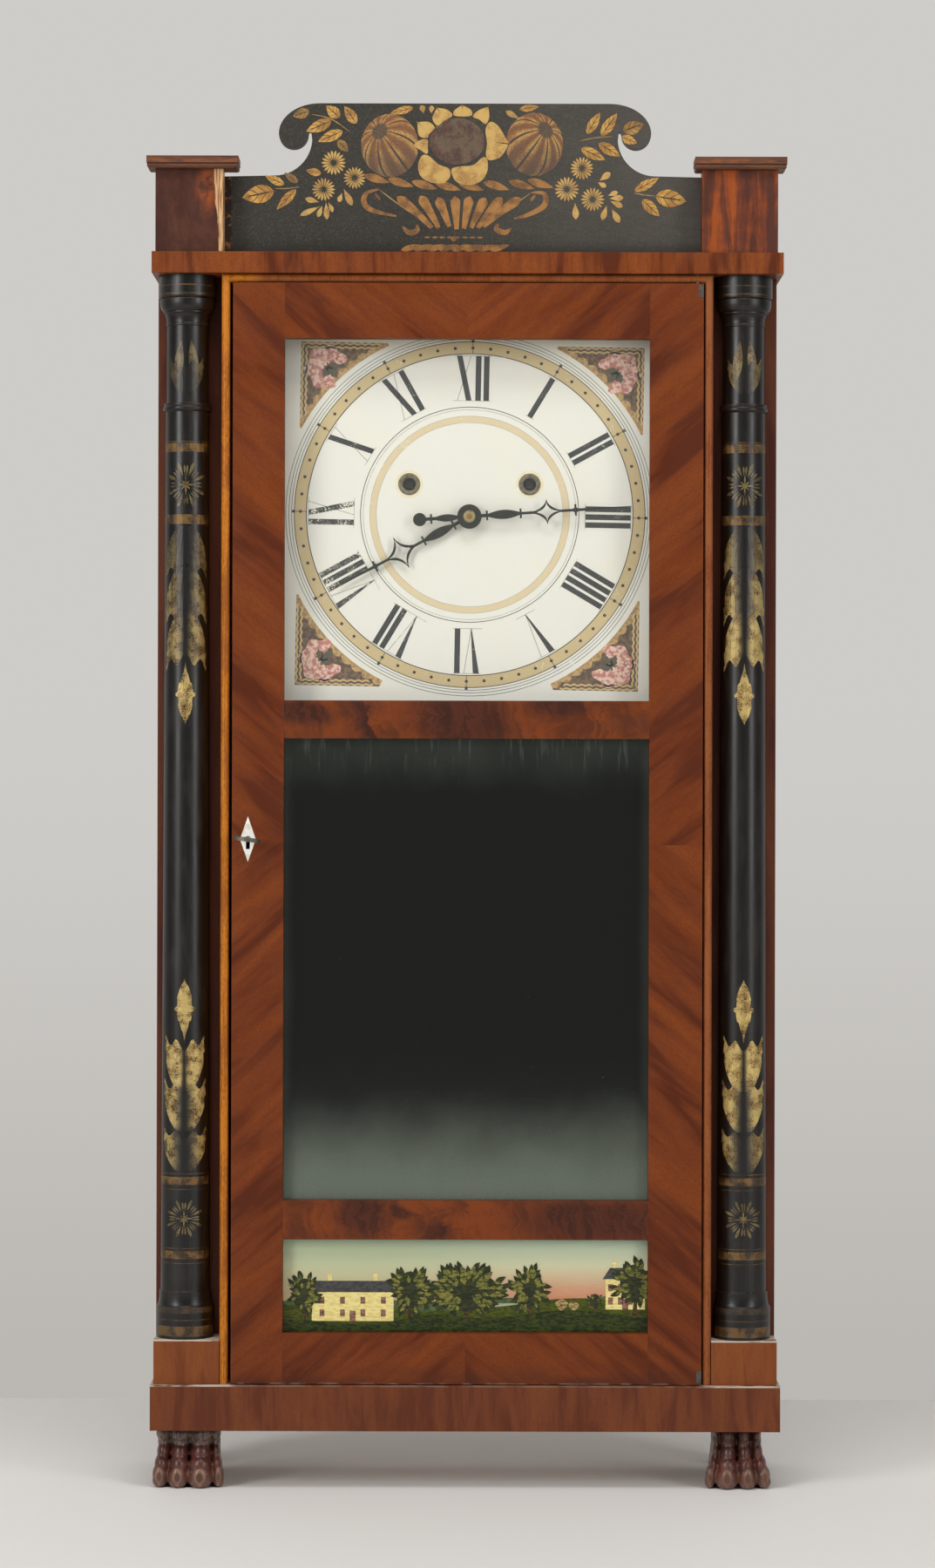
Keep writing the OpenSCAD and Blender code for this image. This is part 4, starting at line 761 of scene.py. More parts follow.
def rail_finish(colours):
    """The four rails: slanting figure meeting in the middle above and below, and crotch
    figure, dark feathers through orange, on the two between."""
    finish = Finish("rail_veneer")
    tones = mahogany_tones(colours.door, 0.9)
    middle = (high("door_rails").x + low("door_rails").x) / 2
    place = finish.place()
    x, y, z = finish.parts(place)
    upper = z.over(DOOR_HALF_WAY)
    slant = math.radians(SLANT)
    away = abs(x - middle)
    climb = z * (upper * 2 - 1)
    along = away * math.cos(slant) + climb * math.sin(slant)
    across = climb * math.cos(slant) - away * math.sin(slant)
    grain = finish.join(along, across, y + x.over(middle) * 60.0)
    base, pitted = figured(finish, grain, tones, 0.9)
    sway = finish.noise(place, (26, 30, 18), 4, 0.6, 0.8)
    spot = finish.join(x + (sway - 0.5) * 34.0 + z * 0.2, 0.0, z + (sway - 0.5) * 16.0)
    hairs = finish.noise(spot, (5.0, 6, 34), 3, 0.6, 0.8)
    orange = finish.ramp(sway * 0.6 + hairs * 0.4, (0.40, shade(88, 44, 24)),
                         (0.56, shade(118, 57, 24)))
    dark = finish.mix(hairs.span(0.4, 0.6), shade(54, 30, 23), shade(74, 38, 27))
    half_way = (high("mirror_glass").z + low("dial_glass").z) / 2
    lower_way = (high("painted_tablet").z + low("mirror_glass").z) / 2
    feathers = None
    # each crotch rail's dark feathers, as place across, place up, half width, half height
    for centre, spots in (
        (half_way, ((-92, 0, 52, 20), (-4, 5, 30, 11), (31, 0, 7, 30), (100, 0, 42, 26),
                    (164, 8, 26, 9))),
        (lower_way, ((-32, 2, 21, 17), (-4, 7, 11, 7), (16, -7, 12, 7), (122, 0, 62, 20))),
    ):
        for at_x, at_z, wide, tall in spots:
            mask = finish.near(spot, (at_x, 0, centre + at_z), (wide * 1.2, 0, tall * 1.2), 0.7)
            feathers = mask if feathers is None else feathers.most(mask)
    crotch = finish.mix(feathers * 0.9, orange, dark)
    between = z.over(low("painted_tablet").z + 20) * (1 - z.over(low("dial_glass").z + 30))
    base = door_foot(finish, finish.mix(between, base, crotch))
    soft, base = finish.worn(base, 0.6, 0.25, RUBBED_VENEER)
    rough = finish.noise(place, (50, 30, 16), 3).span(0.3, 0.7, 0.36, 0.50)
    return finish.done(base, rough, finish.bump(1 - pitted, 0.03, 0.5, soft), shine=POLISH)


# ---------------------------------------------------------------- metals and small things


def iron_finish(name, base_colour, rough, metal):
    """Dark metal, browned in patches and bright at its edges."""
    finish = Finish(name)
    place = finish.place()
    patch = finish.noise(place, 5.0, 4, 0.6)
    fine = finish.noise(place, 0.6, 3)
    base = finish.mix(patch.span(0.42, 0.66) * 0.5, base_colour, shade(58, 44, 34))
    soft, base = finish.worn(base, 0.25, 0.35, shade(150, 142, 130))
    return finish.done(base, rough + patch * 0.18, finish.bump(fine, 0.02, 0.3, soft),
                       Metallic=metal)


def bone_finish():
    """Yellowed bone."""
    finish = Finish("bone_diamond")
    place = finish.place()
    cloud = finish.noise(place, 4.0, 3)
    base = finish.mix(cloud.span(0.4, 0.7), shade(240, 238, 230), shade(214, 206, 186))
    soft, base = finish.worn(base, 0.3, 0.6, shade(150, 130, 100))
    return finish.done(base, 0.32, soft, **{"Coat Weight": 0.2})


def brass_finish(name, rough=0.34, body=shade(190, 148, 78)):
    """Tarnished brass, bright at its edges."""
    finish = Finish(name)
    place = finish.place()
    patch = finish.noise(place, 6.0, 4, 0.6)
    base = finish.mix(patch.span(0.42, 0.68), body, shade(112, 84, 44))
    soft, base = finish.worn(base, 0.3, 0.4, shade(224, 190, 122))
    return finish.done(base, rough + patch * 0.15, soft, Metallic=0.9)


class CLOCK_OT_movement(bpy.types.Operator):
    """Finishes of the hands, wheels, cords, weights and pendulum"""

    bl_idname = "clock.movement"
    bl_label = "Hands and movement"

    def execute(self, context):
        colours = context.scene.clock_colours
        coat(iron_finish("hand_iron", tuple(colours.iron), 0.36, 0.75), "hour_hand",
             "minute_hand")
        cherry = (shade(112, 62, 36), shade(158, 98, 58), shade(190, 132, 86))
        wheels = bare_wood("wheel_cherry", 35, cherry, 3.0, 0.5)
        coat(wheels, "centre_wheel", "third_wheel", "motion_wheel", "hour_wheel",
             "time_great_wheel", "strike_great_wheel", "pin_wheel", "locking_wheel",
             "count_wheel", "time_pulley", "strike_pulley", "fly")
        # the arbors' ends inside the winding holes are darkened as painted shade
        coat(bare_wood("drum_cherry", 35, cherry, 3.0, 0.5, painted_shade_depth=high("dial_board").y),
             "time_drum", "strike_drum")
        oak = (shade(104, 74, 44), shade(150, 112, 70), shade(178, 142, 96))
        coat(bare_wood("plate_oak", 90, oak, 3.5, 0.6), "front_plate", "back_plate",
             "plate_pillars")
        coat(brass_finish("old_brass"), "escape_wheel", "pendulum_bob")
        coat(brass_finish("nut_brass", 0.42, shade(178, 166, 112)), "hand_nut")
        coat(iron_finish("wire_steel", shade(104, 98, 90), 0.4, 0.85), "verge",
             "pendulum_rod", "hammer")
        coat(cast_iron(), "time_weight", "strike_weight", "bell")
        cord = twine()
        coat(cord, "cord_runs")
        for side in ("time", "strike"):
            self.weight_cord(side, cord)
        return {"FINISHED"}

    def weight_cord(self, side, material):
        """The cord between a pulley and its weight, a cylinder in place of the part's own cord."""
        lower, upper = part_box(side + "_cord")
        joint = next(each for each in frame["joints"] if each["name"] == side + "_wind")
        tall, half = upper.z - lower.z, (upper.x - lower.x) / 2
        middle = (lower + upper) / 2
        bm = bmesh.new()
        made = bmesh.ops.create_cone(bm, cap_ends=True, segments=16, radius1=half, radius2=half,
                                     depth=tall)
        bmesh.ops.translate(bm, verts=made["verts"], vec=middle)
        cord = piece(side + "_weight_cord", bm, material, "case")
        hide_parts(side + "_cord")
        1 - joint["range_m"][1] / tall
        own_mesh(cord)


def cast_iron():
    """Rough casting, rusty in patches."""
    finish = Finish("cast_iron")
    place = finish.place()
    rust = finish.noise(place, 9.0, 5, 0.65)
    sand = finish.noise(place, 0.9, 3)
    base = finish.mix(rust.span(0.46, 0.66) * 0.7, shade(46, 44, 43), shade(92, 56, 38))
    soft, base = finish.worn(base, 1.0, 0.3, shade(112, 104, 96))
    return finish.done(base, 0.6 + rust * 0.2, finish.bump(sand + rust, 0.15, 0.5, soft),
                       Metallic=0.5)


def twine():
    """Dusty laid cord, its strands told by height."""
    finish = Finish("twine")
    place = finish.place()
    x, y, z = finish.parts(place)
    strands = ((x * 1.0 + y * 1.0 + z * 2.4).wave() + 1) * 0.5
    dirt = finish.noise(place, 14.0, 3)
    base = finish.mix(strands, shade(108, 88, 58), shade(168, 142, 100))
    base = finish.mix(dirt.span(0.45, 0.7) * 0.5, base, shade(84, 68, 46))
    return finish.done(base, 0.85, finish.bump(strands, 0.2, 0.8))


# ---------------------------------------------------------------- columns


def lacquer_finish(colours):
    """Black lacquer, finely scored along the shaft and rubbed brown on the rings."""
    finish = Finish("column_lacquer")
    place = finish.place()
    blot = finish.noise(place, (9, 9, 26), 4, 0.6)
    score = finish.noise(place, (0.9, 0.9, 60.0), 3, 0.6)
    craze = finish.noise(place, (1.2, 1.2, 3.0), 3, 0.6)
    base = finish.mix(blot.span(0.48, 0.72) * 0.5, tuple(colours.lacquer), shade(38, 33, 27))
    base = finish.mix(score.span(0.52, 0.66) * 0.3, base, shade(48, 42, 35))
    soft, base = finish.worn(base, 0.8, blot.span(0.40, 0.60) * 0.7, shade(104, 60, 32))
    rough = blot.span(0.3, 0.7, 0.28, 0.38)
    normal = finish.bump(craze * 0.5 + blot * 0.6 + score * 0.5, 0.05, 0.35, soft)
    return finish.done(base, rough, normal, shine=0.42)


def gold_leafwork(name, bright, dull, ground, speckle=0.5, veins=0.0, size=0.55):
    """Bronze powder over a black ground, thinned by wear. Its brightness is the mesh's
    tone, and it can be drawn with a midrib and side veins."""
    finish = Finish(name)
    place = finish.place()
    tone = finish.mark("tone")
    across, along = finish.mark("across"), finish.mark("along")
    specks = finish.noise(place, size, 2, 0.6)
    patches = finish.noise(place, 7.0, 3)
    kept = specks.span(0.62 - 0.10 * speckle, 0.70 - 0.10 * speckle, 1.0, 0.0)
    kept = 1 - (1 - kept) * (patches.span(0.35, 0.62) * 0.8 + 0.2) * min(1.0, speckle * 2)
    gold = finish.mix(patches.span(0.38, 0.66), bright, dull)
    if veins:
        side = abs(across)
        rib = side.span(0.05, 0.13)
        chevron = (along * veins + side * -1.1) % 1.0
        lines = abs(chevron - 0.5).span(0.40, 0.47, 1.0, 0.0)
        kept = kept * rib * lines
    cover = (tone * kept).least(1.0).most(0.0)
    base = finish.mix(cover, ground, gold)
    rough = cover.span(0.0, 1.0, 0.36, 0.46)
    return finish.done(base, rough, finish.bump(cover, 0.03, 0.5),
                       Metallic=cover * 0.35)


# Radius by which a place across a column is counted round it, in millimetres.
SHAFT_RADIUS = 15.3


class Shaft:
    """The surface of a column, to lay ornament on: across is counted round its front."""

    def __init__(self, node, rise):
        mesh = NODES[node].data
        self.tree = BVHTree.FromPolygons(
            [vert.co for vert in mesh.vertices], [face.vertices for face in mesh.polygons]
        )
        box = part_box(node)
        self.x = (box[0].x + box[1].x) / 2
        self.y = box[0].y + (box[1].x - box[0].x) / 2
        self.rise = rise

    def __call__(self, across, up, lift=0.0):
        turn = across / SHAFT_RADIUS
        way = Vector((math.sin(turn), -math.cos(turn), 0))
        start = Vector((self.x, self.y, up * MM)) + way * 60 * MM
        hit = self.tree.ray_cast(start, -way)[0]
        if hit is None:
            raise RuntimeError("the ornament runs off the column")
        return hit + way * (self.rise + lift * MM)


def half_acanthus(drawing, side, foot, tip, reach, dark, fade=1.0):
    """One half of a pair of leaves, from its narrow foot by the stem to its ragged tips. The
    gold is full at the outside and dies away within dark millimetres of the stem."""
    height = tip - foot

    def outline(across, along):
        part = (across + 1) / 2
        teeth = 1.7 * ((along * 4.4) % 1.0) * ease(0.40, 0.6, along)
        outer = reach * (0.30 + 0.70 * math.sin(min(1.0, along * 1.3) * math.pi / 2) ** 0.85)
        notch = 0.16 * abs(math.sin(math.pi * (1 - part) * 1.55)) ** 1.5 + 0.12 * (1 - part)
        return part * (outer - teeth * part), foot + height * along * (1 - notch * along ** 2)

    def place(across, along):
        x, z = outline(across, along)
        return side * max(x, 0.15), z

    def tone(across, along):
        x = outline(across, along)[0]
        return fade * ease(dark * 0.25, dark * 1.5 + 2.0, x) * ease(-0.12, 0.22, along)

    drawing.sheet(place, 10, 26, tone)


def lance(drawing, root, tip, half_width, fade=1.0):
    """An end leaf: a pointed blade on a pair of jagged shoulders, narrowing to its root."""
    def place(across, along):
        if along > 0.56:
            turn = math.pi * (along - 0.44) / 0.56 * 0.62 + 1.18
            half = half_width * 0.74 * math.sin(turn) ** 0.9
        else:
            half = half_width * ease(-0.05, 0.62, along) ** 1.1
        saw = 0.24 * ((along * 6.0) % 1.0) * ease(0.75, 0.55, along)
        point = math.sqrt(max(0.0, 1 - ease(0.86, 1.0, along)))
        return across * half * (1 - saw) * point, blend(root, tip, along)

    drawing.sheet(place, 6, 44,
                  lambda across, along: fade * (0.55 + 0.45 * ease(0.0, 0.35, along)))


def column_band(drawing, low_z, high_z, tone):
    """A gold band round the front of a column, dying away at its sides."""
    drawing.sheet(lambda across, along: (across * 22.0, blend(low_z, high_z, along)), 36, 1,
                  lambda across, along: tone * (1 - ease(0.80, 1.0, abs(across))))


def rosette(drawing, z, wide, tall, tone):
    """Eight worn leaves, each of a blade and two lashes, round a small star."""
    def at(radius, angle):
        turn = math.radians(angle)
        return (wide * radius * math.sin(turn), z + tall * radius * math.cos(turn))

    for i in range(8):
        angle = 22.5 + 45 * i
        for turn, reach, broad in ((0, 0.62, 0.07), (-19, 0.44, 0.04), (19, 0.44, 0.04)):
            drawing.blade(at(0.34, angle + turn * 0.8), angle + turn, tall * reach,
                          tall * broad, "drop", tone=tone, steps=(3, 6))
        drawing.blade((0, z), angle + 22.5, tall * (0.42 if i % 2 else 0.24), tall * 0.035,
                      "leaf", tone=tone * 1.3, steps=(2, 5))


class CLOCK_OT_columns(bpy.types.Operator):
    """Lacquer and gold stencilling of the two half columns"""

    bl_idname = "clock.columns"
    bl_label = "Columns"

    def execute(self, context):
        colours = context.scene.clock_colours
        rise = context.scene.clock_sizes.paint_rise
        coat(lacquer_finish(colours), "left_column", "right_column")
        bands = gold_leafwork("column_bronze", shade(122, 90, 44), shade(72, 52, 28),
                              colours.lacquer, 1.4, size=0.7)
        # each column's strength of the upper leaves, and how far its gold is rubbed
        for node, weak, rubbed in (("left_column", 0.55, 1.5), ("right_column", 0.85, 1.1)):
            leaves = gold_leafwork(node + "_gold", shade(198, 172, 106), shade(150, 116, 58),
                                   colours.lacquer, rubbed, size=0.8)
            surface = Shaft(node, rise)
            gold = Drawing(surface)
            # each leaf as foot, tip, reach, width of the dark stem, strength
            for foot, tip, reach, dark, fade in (
                (210.0, 239.0, 16.4, 6.5, 0.74), (236.5, 271.1, 16.0, 4.0, 0.92),
                (263.0, 300.4, 14.9, 1.0, 1.0), (636.0, 601.7, 17.2, 7.0, 0.52 * weak),
                (609.0, 570.6, 17.4, 5.0, 0.8 * weak), (580.0, 540.2, 16.6, 2.6, weak),
            ):
                for side in (-1, 1):
                    half_acanthus(gold, side, foot, tip, reach, dark, fade)
            lance(gold, 295.3, 337.2, 7.2)
            lance(gold, 546.0, 505.1, 7.4, 0.95)
            for side in (-1, 1):
                half_acanthus(gold, side, 724.0, 748.0, 14.5, 6.0, 0.34 * weak)
                gold.leaf((side * 3.6, 759.0), (side * 7.0, 733.0), 3.6, tone=0.42 * weak)
            rosette(gold, 663.2, 14.0, 17.0, 0.26)
            rosette(gold, 178.8, 13.0, 14.0, 0.28)
            gold.finish(node + "_leaves", leaves, "case", "black_lacquer")
            bronze = Drawing(surface)
            for low_z, high_z, tone in (
                (794.6, 795.4, 0.6), (789.0, 789.8, 0.6), (691.5, 692.1, 0.6),
                (685.0, 690.8, 0.9), (637.3, 643.6, 0.9), (208.0, 208.7, 0.5),
                (201.0, 206.2, 0.9), (197.8, 198.3, 0.5), (158.7, 159.3, 0.5),
                (152.1, 157.3, 0.9), (148.9, 149.5, 0.5), (116.4, 120.2, 0.3),
                (111.6, 112.3, 0.4), (101.2, 107.8, 0.7),
            ):
                column_band(bronze, low_z, high_z, tone)
            bronze.finish(node + "_bands", bands, "case", "black_lacquer")
        return {"FINISHED"}


# ---------------------------------------------------------------- splat


def splat_ground(colours):
    """Dusty grey-black ground, worn at its edges and its left end."""
    finish = Finish("splat_ground")
    place = finish.place()
    x, _, z = finish.parts(place)
    cloud = finish.noise(place, (60, 20, 24), 4, 0.6)
    weave = finish.noise(place, (9, 2, 0.8), 3, 0.6)
    dust = finish.noise(place, 0.7, 2)
    ground = finish.mix(x.span(-60.0, 120.0), colours.splat_ground, shade(78, 74, 68))
    base = finish.mix((cloud * 0.6 + weave * 0.4).span(0.36, 0.62) * 0.6, ground,
                      finish.mix(0.4, ground, shade(22, 20, 18)))
    base = finish.mix(dust.span(0.50, 0.72) * 0.30, base, shade(112, 106, 94))
    soft, base = finish.worn(base, 0.6, 0.6, shade(98, 76, 52))
    start = inner_edge("pedestals")
    chips = finish.noise(place, (5, 5, 3), 4, 0.6)
    worn = 1 - (x + chips * 5.0).span(start + 6.0, start + 8.0)
    base = finish.mix(worn * 0.8, base, finish.mix(chips.span(0.5, 0.62), shade(40, 30, 24),
                                                   shade(150, 96, 52)))
    foot = 1 - z.span(low("splat").z + 1.0, low("splat").z + 11.0)
    base = finish.mix(foot * 0.55, base, shade(40, 33, 28))
    return finish.done(base, cloud.span(0.3, 0.7, 0.38, 0.52),
                       finish.bump(weave, 0.06, 0.4, soft), shine=POLISH)


def melon(drawing, centre, radius, tall, pole, ribs, tone):
    """A ribbed fruit seen from the front: half a globe, pressed flat. The mesh keeps how
    far each point is from the middle of its rib."""
    across_at, along_at, tone_at = layers(drawing.bm)
    drawing.coats += 1
    made = bmesh.ops.create_uvsphere(
        drawing.bm, u_segments=ribs * 8, v_segments=26, radius=radius)
    verts = made["verts"]
    for vert in verts:
        around = math.atan2(vert.co.y, vert.co.x) / math.tau * ribs
        vert[across_at] = abs(around % 1.0 - 0.5) * 2
        vert[along_at] = (vert.co.z / radius + 1) / 2
    tilt = Vector(pole).to_track_quat("Z", "Y").to_matrix()
    bmesh.ops.rotate(drawing.bm, verts=verts, matrix=tilt)
    globe = dict.fromkeys(e for v in verts for e in (v, *v.link_edges, *v.link_faces))
    cut = bmesh.ops.bisect_plane(drawing.bm, geom=list(globe), plane_co=(0, -radius * 0.02, 0),
                                 plane_no=(0, 1, 0), clear_outer=True)
    kept = dict.fromkeys(e for e in cut["geom"] + cut["geom_cut"]
                         if isinstance(e, bmesh.types.BMVert))
    for vert in kept:
        x, z = vert.co.x / radius, vert.co.z / radius
        vert[tone_at] = tone * blend(0.34, 1.0, ease(-1.0, 0.55, z))
        vert.co = drawing.surface(centre[0] + x * radius, centre[1] + z * tall)


def melon_finish(colours):
    """Bronze on the ribs of the fruit, dark in the grooves."""
    finish = Finish("splat_fruit")
    place = finish.place()
    tone, across = finish.mark("tone"), finish.mark("across")
    along = finish.mark("along")
    specks = finish.noise(place, 0.55, 2, 0.6)
    patches = finish.noise(place, 8.0, 3)
    groove = across.span(0.84, 0.94, 1.0, 0.0)
    body = across.span(0.15, 0.72, 0.55, 1.0)
    pole = along.span(0.970, 0.985, 1.0, 0.2)
    thin = specks.span(0.46, 0.64, 1.0, 0.25)
    cover = tone * groove * body * pole * thin
    gold = finish.mix(across.span(0.2, 0.7) * patches.span(0.30, 0.60), colours.fruit,
                      shade(192, 146, 82))
    base = finish.mix(cover.least(1.0).most(0.0), colours.splat_ground, gold)
    return finish.done(base, 0.44, finish.bump(cover, 0.03, 0.4), Metallic=cover * 0.25)


def splat_surface():
    """Places ornament on the face of the splat, from millimetres across and above its foot."""
    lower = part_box("splat")[0]
    rise = bpy.context.scene.clock_sizes.paint_rise
    middle = -2.0 * MM

    def surface(across, up, lift=0.0):
        return Vector((middle + across * MM, lower.y - rise - lift * MM, lower.z + up * MM))

    return surface


class CLOCK_OT_splat(bpy.types.Operator):
    """Ground and gold stencilling of the crest"""

    bl_idname = "clock.splat"
    bl_label = "Splat"

    def execute(self, context):
        colours = context.scene.clock_colours
        coat(splat_ground(colours), "splat")
        surface = splat_surface()
        ground = colours.splat_ground
        bright, dull = shade(212, 162, 80), shade(174, 124, 58)
        veined = gold_leafwork("splat_leaves", bright, dull, ground, 0.35, veins=4.2, size=0.5)
        plain = gold_leafwork("splat_petals", shade(206, 168, 98), shade(180, 138, 78), ground,
                              0.45, size=0.7)
        warm = gold_leafwork("splat_basket", shade(176, 124, 66), shade(134, 92, 52), ground,
                             0.9, size=0.8)
        red = gold_leafwork("splat_eye", shade(112, 92, 72), shade(104, 66, 52), ground, 1.5,
                            size=1.3)
        leaves, petals, basket, eye, fruit = (Drawing(surface) for _ in range(5))
        eye.disc((-5.3, 76.0), 18.4, 0.9, tall=15.4)
        for outline in FLOWER:
            petals.patch(outline, 0.98)
        melon(fruit, (-49.8, 73.0), 19.0, 21.0, (-0.36, -0.79, 0.45), 8, 1.2)
        melon(fruit, (46.0, 74.0), 19.0, 21.0, (0.40, -0.78, 0.47), 8, 1.1)
        for tip, root, half_width, tone in SPRAYS:
            target, shape = (leaves, "leaf") if half_width > LEAF_FROM else (petals, "drop")
            target.leaf(tip, root, half_width, shape, tone)
        for line in STEMS:
            petals.ribbon(line, 0.4, 0.6)
        for x, z, radius in DAISIES:
            petals.daisy((x, z), radius, 18, 0.95)
        basketwork(basket)
        for drawing, name, material in (
            (leaves, "splat_leafwork", veined), (petals, "splat_flowers", plain),
            (basket, "splat_basketwork", warm), (eye, "splat_flower_eye", red),
            (fruit, "splat_melons", melon_finish(colours)),
        ):
            drawing.finish(name, material, "case", "stencilled_splat")
        return {"FINISHED"}


# The splat's drawing, in millimetres across from its middle and up from its foot.
# Outlines of the big flower's petals.
FLOWER = (
    ((-7.4, 93.2), (-7.0, 96.5), (-1.8, 100.0), (-1.8, 100.0), (3.8, 96.8), (4.4, 93.2),
     (-1.6, 92.4)),
    ((-21.6, 91.2), (-18.6, 98.2), (-18.6, 98.2), (-11.8, 96.8), (-8.4, 93.0), (-14.0, 89.4),
     (-18.4, 86.4)),
    ((5.2, 92.4), (8.8, 96.4), (15.4, 99.0), (15.4, 99.0), (16.0, 92.0), (13.6, 87.4),
     (9.4, 90.4)),
    ((-31.6, 88.4), (-31.6, 88.4), (-24.4, 88.8), (-20.2, 85.0), (-24.0, 80.4), (-24.8, 78.2),
     (-30.4, 79.6)),
    ((-34.6, 73.3), (-34.6, 73.3), (-29.4, 76.8), (-25.0, 77.0), (-24.6, 72.5), (-25.0, 67.6),
     (-29.4, 70.0)),
    ((-31.0, 60.6), (-28.4, 66.4), (-24.0, 66.2), (-17.4, 60.6), (-10.6, 57.8), (-9.8, 52.6),
     (-14.0, 48.4), (-22.5, 48.6), (-29.4, 52.8)),
    ((-8.9, 57.2), (-3.0, 59.2), (5.4, 60.2), (12.0, 65.4), (15.0, 63.0), (14.6, 55.5),
     (10.4, 49.4), (2.6, 47.0), (-6.0, 49.4)),
    ((17.0, 88.9), (22.6, 85.4), (29.0, 74.3), (29.0, 74.3), (24.0, 66.0), (16.4, 63.4),
     (13.9, 67.0), (14.6, 75.0), (13.6, 84.0)),
)
# Leaves and drops, as tip, root, half width and strength. Leaves are wider than drops.
LEAF_FROM = 2.2
SPRAYS = (
    ((-147.7, 38.2), (-126.4, 42.6), 6.0, 1.0), ((-124.7, 30.4), (-111.9, 43.8), 3.0, 0.9),
    ((-132.2, 52.6), (-119.7, 47.1), 2.8, 0.95), ((-119.7, 54.9), (-110.8, 48.2), 2.4, 0.5),
    ((-105.3, 56.5), (-95.3, 54.3), 2.6, 0.95), ((-105.8, 37.7), (-96.4, 35.4), 1.9, 0.95),
    ((-109.2, 26.5), (-95.8, 32.6), 1.9, 0.95), ((-97.5, 25.4), (-94.4, 33.2), 1.7, 0.95),
    ((-91.4, 23.8), (-92.0, 35.4), 1.9, 0.95), ((-87.5, 28.8), (-90.3, 35.4), 1.5, 0.95),
    ((-83.6, 35.4), (-81.4, 41.5), 1.6, 0.9), ((-74.7, 33.2), (-80.3, 44.3), 2.2, 0.95),
    ((-114.2, 92.1), (-103.1, 95.9), 3.5, 0.5), ((-105.3, 82.1), (-88.6, 89.3), 4.0, 0.95),
    ((-97.5, 75.4), (-80.9, 82.6), 3.6, 0.95), ((-77.5, 68.7), (-84.2, 76.5), 3.0, 0.5),
    ((-92.0, 99.3), (-83.1, 91.5), 3.8, 0.9), ((-79.9, 99.0), (-72.0, 87.6), 3.6, 0.9),
    ((-49.8, 94.3), (-34.2, 98.2), 2.6, 0.9), ((-28.7, 99.8), (-27.5, 94.3), 2.0, 0.8),
    ((-22.0, 99.6), (-22.6, 94.4), 1.8, 0.8),
    ((89.7, 95.4), (80.8, 81.0), 3.2, 0.85), ((100.8, 94.8), (90.3, 79.8), 3.6, 0.9),
    ((118.6, 87.6), (104.7, 83.2), 4.5, 0.62), ((114.1, 74.8), (103.6, 79.3), 3.0, 0.9),
    ((103.0, 66.0), (88.6, 74.8), 3.6, 0.95), ((93.0, 63.7), (76.9, 71.5), 3.5, 0.9),
    ((96.4, 55.4), (89.1, 49.9), 2.2, 0.95), ((93.6, 46.0), (88.0, 49.0), 1.7, 0.95),
    ((101.4, 42.6), (94.7, 40.1), 1.7, 0.95), ((105.2, 38.8), (95.8, 38.2), 2.0, 0.95),
    ((104.7, 32.7), (96.4, 36.5), 1.9, 0.95), ((102.5, 22.1), (97.3, 31.5), 2.2, 0.95),
    ((91.0, 23.8), (94.1, 33.8), 2.0, 0.95), ((73.6, 24.3), (73.0, 35.4), 2.2, 0.95),
    ((146.9, 36.5), (126.3, 39.9), 5.8, 0.95), ((128.6, 52.1), (112.5, 43.2), 3.1, 0.9),
    ((129.1, 26.5), (117.5, 37.6), 3.6, 0.9), ((49.0, 99.0), (36.0, 97.2), 2.3, 0.85),
    ((27.0, 96.0), (36.0, 91.0), 2.0, 0.8),
)
STEMS = (
    ((-126.0, 44.3), (-118.0, 44.4), (-109.7, 45.4)),
    ((-101.9, 93.7), (-88.6, 90.4), (-76.4, 82.1)),
    ((76.4, 76.5), (87.0, 78.6), (97.5, 79.3)), ((112.0, 42.0), (119.0, 40.6), (126.0, 40.0)),
    ((-56.9, 44.0), (-46.0, 35.6), (-33.8, 27.1)), ((44.0, 42.0), (27.0, 30.0), (12.0, 19.0)),
)
DAISIES = (
    (-87.0, 61.5, 8.3), (-73.1, 51.5, 7.5), (-93.6, 43.8, 7.8), (77.5, 58.2, 7.8),
    (67.5, 44.3, 8.3), (84.7, 37.6, 8.0),
)
# The basket's flutes, as their rounded top and their foot.
FLUTES = (
    ((-43.4, 41.6), (-21.8, 18.5)), ((-28.5, 40.6), (-17.4, 18.5)),
    ((-17.4, 39.2), (-10.2, 19.4)), ((-6.4, 39.6), (-5.4, 17.5)), ((2.8, 39.6), (-0.6, 18.0)),
    ((12.9, 39.2), (4.2, 18.5)), ((23.5, 40.1), (8.6, 18.5)), ((35.5, 41.1), (12.4, 19.4)),
)
HANDLES = (
    ((-56.9, 44.0), (-64.6, 41.6), (-67.0, 36.8), (-64.6, 31.9), (-56.9, 28.6), (-45.3, 26.2)),
    ((44.2, 42.1), (51.9, 41.6), (53.8, 36.8), (50.9, 31.9), (41.3, 27.1), (32.6, 24.7)),
    ((22.0, 21.4), (21.1, 17.5), (26.8, 15.6), (30.7, 18.5)),
    ((-32.0, 20.6), (-31.6, 16.8), (-37.0, 15.4), (-41.0, 19.4)),
)


